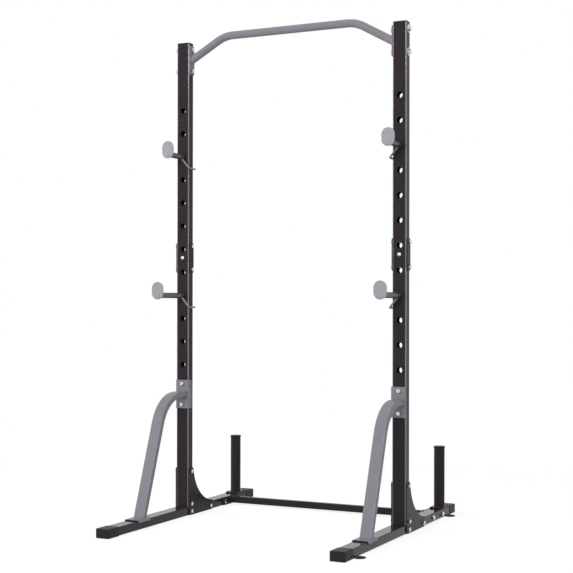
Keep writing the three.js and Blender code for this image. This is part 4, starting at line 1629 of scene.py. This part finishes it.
@dataclass(frozen=True)
class PlatePost(SubAssembly):
    """A post for plates on its foot plate, with four screws, and its lid."""

    side: Side
    back: float = 495.0
    radius: float = 23.5
    top: float = 300.0
    wall: float = 3.0
    rim_edge: float = 0.8
    round_steps: int = 64
    foot: EndPlate = EndPlate(60.0, 96.0, 5.0, 6.0, bolts=82.0)
    foot_edge: float = 0.8
    screws_across: float = 40.0
    screw_radius: float = 4.5
    screw_height: float = 3.5
    screw_sunk: float = 0.5
    screw_rim: float = 0.25
    socket: tuple[tuple[float, float], ...] = ((0.38, 0.97), (0.36, 0.5), (0.0, 0.5))
    lid_overhang: float = 1.2
    lid_crown: tuple[tuple[float, float], ...] = ((3.4, 8.0), (1.4, 7.4), (0.3, 6.0), (0.0, 4.4))
    lid_edge: float = 0.4
    plug_play: float = 0.3
    plug: float = 16.0
    plug_chamfer: tuple[float, float] = (1.2, 1.0)
    bead_radius: float = 2.1
    bead_spread: float = 0.5

    @property
    def bottom(self) -> float:
        """Height of the underside of its foot plate."""
        return BASE_TOP + FIT_GAP

    def pieces(self) -> Iterator[bpy.types.Object]:
        """The welded post and its lid."""
        post = self.post().moved(at(self.side.plane, self.back, self.bottom))
        yield finished(self.side.named("plate_post"), post, Surface.BLACK_POWDER)
        lid = self.lid().moved(at(self.side.plane, self.back, self.top + FIT_GAP))
        yield finished(self.side.named("post_cap"), lid, Surface.PLASTIC)

    def post(self) -> Shape:
        """The foot plate on Z = 0, the tube turned as a closed profile, its bead and the screws.

        Returns:
            The post.
        """
        foot, edge, rim, bore = self.foot, self.rim_edge, self.radius, self.radius - self.wall
        outline = rounded_rectangle(foot.width, foot.height, foot.corner)
        shape = plate(outline, [], foot.thickness, self.foot_edge)
        low, tall = foot.thickness - WELDED_IN, self.top - self.bottom
        profile = [(rim, low), (rim, tall - edge), (rim - edge, tall), (bore, tall), (bore, low)]
        shape.join(turned(profile, self.round_steps, hollow=True))
        bead = weld_round(circle(self.radius + self.bead_spread), self.bead_radius, spread=0.0)
        shape.join(bead.moved(at(z=foot.thickness)))
        for x in BOTH:
            for y in BOTH:
                place = at(x * self.screws_across / 2, y * foot.bolts / 2, foot.thickness)
                shape.join(self.button_head().moved(place))
        return shape

    def button_head(self) -> Shape:
        """A low dome on Z = 0, r = R cos t and z = H (rim + (1 - rim) sin t), with a round socket.

        Returns:
            The head of a screw.
        """
        radius, height, rim = self.screw_radius, self.screw_height, self.screw_rim
        shallowest, steepest = 0.25, 1.15
        dome = np.linspace(shallowest, steepest, 5)
        crown = np.column_stack([radius * np.cos(dome), height * (rim + (1 - rim) * np.sin(dome))])
        socket = [(radius * out, height * up) for out, up in self.socket]
        skirt = [(radius, -self.screw_sunk), (radius, height * rim)]
        return turned([*skirt, *crown, *socket], HOLE_STEPS)

    def lid(self) -> Shape:
        """The lid on Z = 0, turned, with its plug below.

        Returns:
            The lid.
        """
        rim, plug = self.radius + self.lid_overhang, self.radius - self.wall - self.plug_play
        inwards, up = self.plug_chamfer
        crown = [(rim - back, height) for back, height in self.lid_crown]
        profile = [
            (0.0, crown[0][1]),
            *crown,
            (rim, self.lid_edge),
            (rim - self.lid_edge, 0.0),
            (plug, 0.0),
            (plug, up - self.plug),
            (plug - inwards, -self.plug),
            (0.0, -self.plug),
        ]
        return turned(profile, self.round_steps)


class PinKind(Enum):
    """The kinds of pin: how far each stands out and which hole it sits in."""

    CATCH = ("bar_catch", 128.5, 2)
    SPOTTER = ("safety_spotter", 210.0, 8)

    def __init__(self, node: str, reach: float, holes_above: int) -> None:
        """Holds its node, its reach in front of the upright and the holes above its own."""
        self.node, self.reach, self.holes_above = node, reach, holes_above


@dataclass(frozen=True)
class BarPin(SubAssembly):
    """A catch or a spotter: rod, oval plate, locking wire and the beads that hold them.

    It is built about its own axis, which is Y, with the front face of the upright at Y = 0.
    """

    side: Side
    kind: PinKind
    radius: float = 12.0
    round_steps: int = 56
    tail: float = 47.0
    tail_chamfer: tuple[tuple[float, float], ...] = ((0.0, 2.2), (0.3, 1.6), (2.0, 0.0))
    bead_radius: float = 1.6
    bead_spread: float = 0.4
    proud: float = 1.5
    tip_depth: float = 1.2
    tip_chamfer: tuple[tuple[float, float], ...] = ((1.4, 0.0), (0.5, 0.3), (0.0, 1.2))
    oval: tuple[float, float] = (56.0, 75.0)
    oval_thickness: float = 5.0
    oval_lift: float = 19.5
    oval_edge: float = 1.0
    wire_radius: float = 4.0
    wire_ahead: float = 9.0
    wire_side: float = 39.1
    wire_drop: float = 51.0
    wire_tail: float = 41.0
    wire_bend: float = 9.0
    wire_steps: int = 28
    wire_bead_radius: float = 1.4
    wire_bead_spread: float = 0.5
    wire_bead_height: float = 0.62
    round_end: tuple[tuple[float, float], ...] = ((0.97, 1.2), (0.86, 0.5), (0.66, 0.0))

    def pieces(self) -> Iterator[bpy.types.Object]:
        """The rod, the oval plate and the wire, which move as one body."""
        node = self.side.named(self.kind.node)
        sag = PIN_HOLE / 2 - self.radius - FIT_GAP
        place = at(self.side.plane, 0, PIN_HEIGHTS[self.kind.holes_above] - sag)
        # The rod wears the pale coat darkened to a brown grey as painted shade.
        rod = dressed(f"{node}_rod", self.rod().moved(place), Surface.ROD_STEEL, node)
        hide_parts(node)
        yield rod
        yield dressed(f"{node}_oval", self.oval_plate().moved(place), Surface.PALE_POWDER, node)
        yield dressed(f"{node}_wire", self.wire().moved(place), Surface.SILVER_POWDER, node)

    def rod(self) -> Shape:
        """The rod turned about Y from inside the oval plate to its chamfered tail, and its bead.

        Returns:
            The rod.
        """
        radius, tail, reach = self.radius, self.tail, self.kind.reach
        chamfer = [(radius - inwards, tail - back) for inwards, back in self.tail_chamfer]
        start = self.oval_thickness / 2 - reach
        profile = [(0.0, start), (radius, start), *chamfer, (0.0, tail)]
        shape = turned(profile, self.round_steps).moved(TO_BACK)
        bead = weld_round(circle(radius + self.bead_spread), self.bead_radius, spread=0.0)
        return shape.join(bead.moved(at(y=self.oval_thickness - reach) @ TO_FRONT))

    def oval_plate(self) -> Shape:
        """The oval plate, and the end of the rod that stands proud of it.

        Returns:
            The plate with the rod's end.
        """
        thick, reach = self.oval_thickness, self.kind.reach
        oval = plate(stadium(*self.oval), [], thick, self.oval_edge)
        oval = oval.moved(at(0, thick - reach, self.oval_lift) @ TO_FRONT)
        radius, proud, deep = self.radius, self.proud, self.tip_depth
        chamfer = [(radius - inwards, back - proud) for inwards, back in self.tip_chamfer]
        tip = turned([(0.0, -proud), *chamfer, (radius, deep), (0.0, deep)], self.round_steps)
        return oval.join(tip.moved(at(y=-reach) @ TO_BACK))

    def wire(self) -> Shape:
        """A circle carried along the bent wire, which shrinks over its round end, and its bead.

        Returns:
            The wire.
        """
        side = self.side.inner * self.wire_side
        root = Vector((0, -self.wire_ahead, -self.radius / 2))
        elbow = Vector((side, -self.wire_ahead, -self.wire_drop))
        tip = Vector((side, self.wire_tail, -self.wire_drop))
        line = Path.bent([root, elbow, tip], self.wire_bend)
        normal = (elbow - root).cross(tip - elbow).normalized()
        shrink, back = np.array(self.round_end).T
        ends = np.array(tip) - back[:, None] * line.headings[-1]
        headings = np.vstack([line.headings[:-1], [Y] * len(ends)])
        path = Path(np.vstack([line.points[:-1], ends]), headings)
        swell = np.append(np.ones(len(line.points) - 1), shrink)
        shape = Shape().loft(path.carry(circle(self.wire_radius, self.wire_steps), normal, swell))
        heading = (elbow - root).normalized()
        tilt = heading.to_track_quat("Z", "Y").to_matrix().to_4x4()
        seat = at(*(root + heading * (self.radius * self.wire_bead_height)))
        joint = circle(self.wire_radius + self.wire_bead_spread)
        return shape.join(weld_round(joint, self.wire_bead_radius, spread=0.0).moved(seat @ tilt))


# Studio


@dataclass(frozen=True)
class SoftBox:
    """A rectangular studio light aimed at a point, which may be for glints alone."""

    name: str
    place: Place
    target: Place
    width: float
    height: float
    watts: float
    only_mirrored: bool = False

    def hang(self) -> None:
        """Hangs the light in its place, aimed at its target."""
        data = bpy.data.lights.new(self.name, "AREA")
        data.shape, data.energy = "RECTANGLE", self.watts
        data.size, data.size_y = self.width, self.height
        lamp = bpy.data.objects.new(self.name, data)
        lamp.location = self.place
        lamp.visible_diffuse = not self.only_mirrored
        aim = Vector(self.target) - Vector(self.place)
        lamp.rotation_euler = aim.to_track_quat("-Z", "Y").to_euler()
        bpy.context.scene.collection.objects.link(lamp)


@dataclass(frozen=True)
class Studio:
    """The floor, the backdrop and the soft boxes."""

    room_light: float = 0.32
    floor_half: float = 30.0
    floor_colour: float = 0.55
    floor_lift: float = 0.79
    shadow_share: float = 0.4
    fade: tuple[float, float] = (1.0, 2.6)
    soft_boxes: tuple[SoftBox, ...] = (
        SoftBox("key", (-5.3, -2.6, 2.5), (0, 0, 0.9), 2.2, 2.2, 110.0),
        SoftBox("front", (1.2, -5.3, 3.6), (0, 0, 0.9), 2.4, 1.6, 125.0),
        SoftBox("top", (0.0, 0.6, 4.6), (0, 0, 0), 3.4, 3.0, 16.0),
        SoftBox("glints", (3.8, -1.9, 1.3), (0.2, 0, 1.1), 0.8, 3.4, 36.0, only_mirrored=True),
    )

    def set_up(self) -> None:
        """Sets up the backdrop, the floor and the lights, with colours shown as they are."""
        bpy.context.scene.view_settings.view_transform = "Standard"
        self._backdrop()
        self._floor()
        for box in self.soft_boxes:
            box.hang()

    def _backdrop(self) -> None:
        """White where the room is seen or mirrored, and a plain light level elsewhere."""
        world = bpy.context.scene.world = bpy.data.worlds.new("studio")
        nodes = Nodes(world)
        room = nodes.add("Background", sockets={"Color": (1, 1, 1, 1), "Strength": self.room_light})
        white = nodes.add("Background", sockets={"Color": (1, 1, 1, 1)})
        nodes.add("OutputWorld", sockets={"Surface": nodes.shader_mix(nodes.seen(), room, white)})

    def _floor(self) -> None:
        """Lays a plain pale floor that keeps the shadow of the rack and runs into the backdrop."""
        mesh = bpy.data.meshes.new("floor")
        corners = flat_ring(np.array([(-1, -1), (1, -1), (1, 1), (-1, 1)]) * self.floor_half, 0.0)
        mesh.from_pydata(corners.tolist(), [], [(0, 1, 2, 3)])
        mesh.materials.append(self._floor_material())
        ground = bpy.data.objects.new("floor", mesh)
        bpy.context.scene.collection.objects.link(ground)

    def _floor_material(self) -> bpy.types.Material:
        """Pale paint that is lifted to white where it is seen, and plain white far off.

        Returns:
            The material.
        """
        material = bpy.data.materials.new("pale_floor")
        nodes = Nodes(material)
        paint, shadowed = (
            nodes.add("BsdfDiffuse", sockets={"Color": (grey, grey, grey, 1.0)})
            for grey in (self.floor_colour, self.shadow_share)
        )
        lift = nodes.add("Emission", sockets={"Strength": self.floor_lift})
        near = nodes.add("AddShader", sockets={0: shadowed, 1: lift})
        distance = nodes.add("VectorMath", {"operation": "LENGTH"}, {0: nodes.place}, "Value")
        start, end = self.fade
        far = distance.above((start + end) / 2, end - start)
        faded = nodes.shader_mix(far, near, nodes.add("Emission"))
        shader = nodes.shader_mix(nodes.seen(), paint, faded)
        nodes.add("OutputMaterial", sockets={"Surface": shader})
        return material


@dataclass(frozen=True)
class PhotoCamera:
    """The photograph's camera, in metres, radians and pixels of the photograph."""

    place: Place = (2.352835, -4.814415, 0.937465)
    azimuth: float = 0.4544599
    elevation: float = -0.0014429
    roll: float = 0.0015639
    focal_pixels: float = 1266.6388
    axis_row: float = 301.0
    sensor: float = 36.0
    clip: tuple[float, float] = (0.1, 100.0)

    def stand(self) -> None:
        """Puts the scene's camera where the photographer stood."""
        data = bpy.data.cameras.new("photo_view")
        data.sensor_width = self.sensor
        data.lens = self.sensor * self.focal_pixels / PHOTO_PIXELS
        data.shift_y = (self.axis_row - PHOTO_PIXELS / 2) / PHOTO_PIXELS
        data.clip_start, data.clip_end = self.clip
        eye = bpy.data.objects.new("photo_view", data)
        eye.matrix_world = at(*self.place) @ self._aim()
        bpy.context.scene.collection.objects.link(eye)
        bpy.context.scene.camera = eye

    def _aim(self) -> Matrix:
        """Turns the camera by its azimuth, its elevation and then its roll.

        Returns:
            The rotation that sends X to the right of the picture and -Z into it.
        """
        level, fall = math.cos(self.elevation), math.sin(self.elevation)
        ahead = Vector((-math.sin(self.azimuth) * level, math.cos(self.azimuth) * level, -fall))
        right = ahead.cross(Z).normalized()
        up = right.cross(ahead)
        c, s = math.cos(self.roll), math.sin(self.roll)
        return axes(c * right + s * up, c * up - s * right, -ahead)


def rack() -> Iterator[SubAssembly]:
    """The sub-assemblies of the rack, in the order in which they are built."""
    for side in Side:
        kinds = (Upright, Splice, Gussets, BaseTube, FrontBrace, PlatePost)
        yield from (kind(side) for kind in kinds)
        yield from (FootCap(side, end) for end in End)
        yield from (BarPin(side, kind) for kind in PinKind)
    yield from (Crossbar(), PullUpBar())


def main() -> None:
    """Sets up the studio and the camera, builds the rack and reports each piece."""
    PhotoCamera().stand()
    Studio().set_up()
    for assembly in rack():
        for piece in assembly.pieces():
            faces = len(piece.data.polygons)
            log.info("%s: %s, %d faces", type(assembly).__name__, piece.name, faces)


if __name__ == "__main__":
    main()
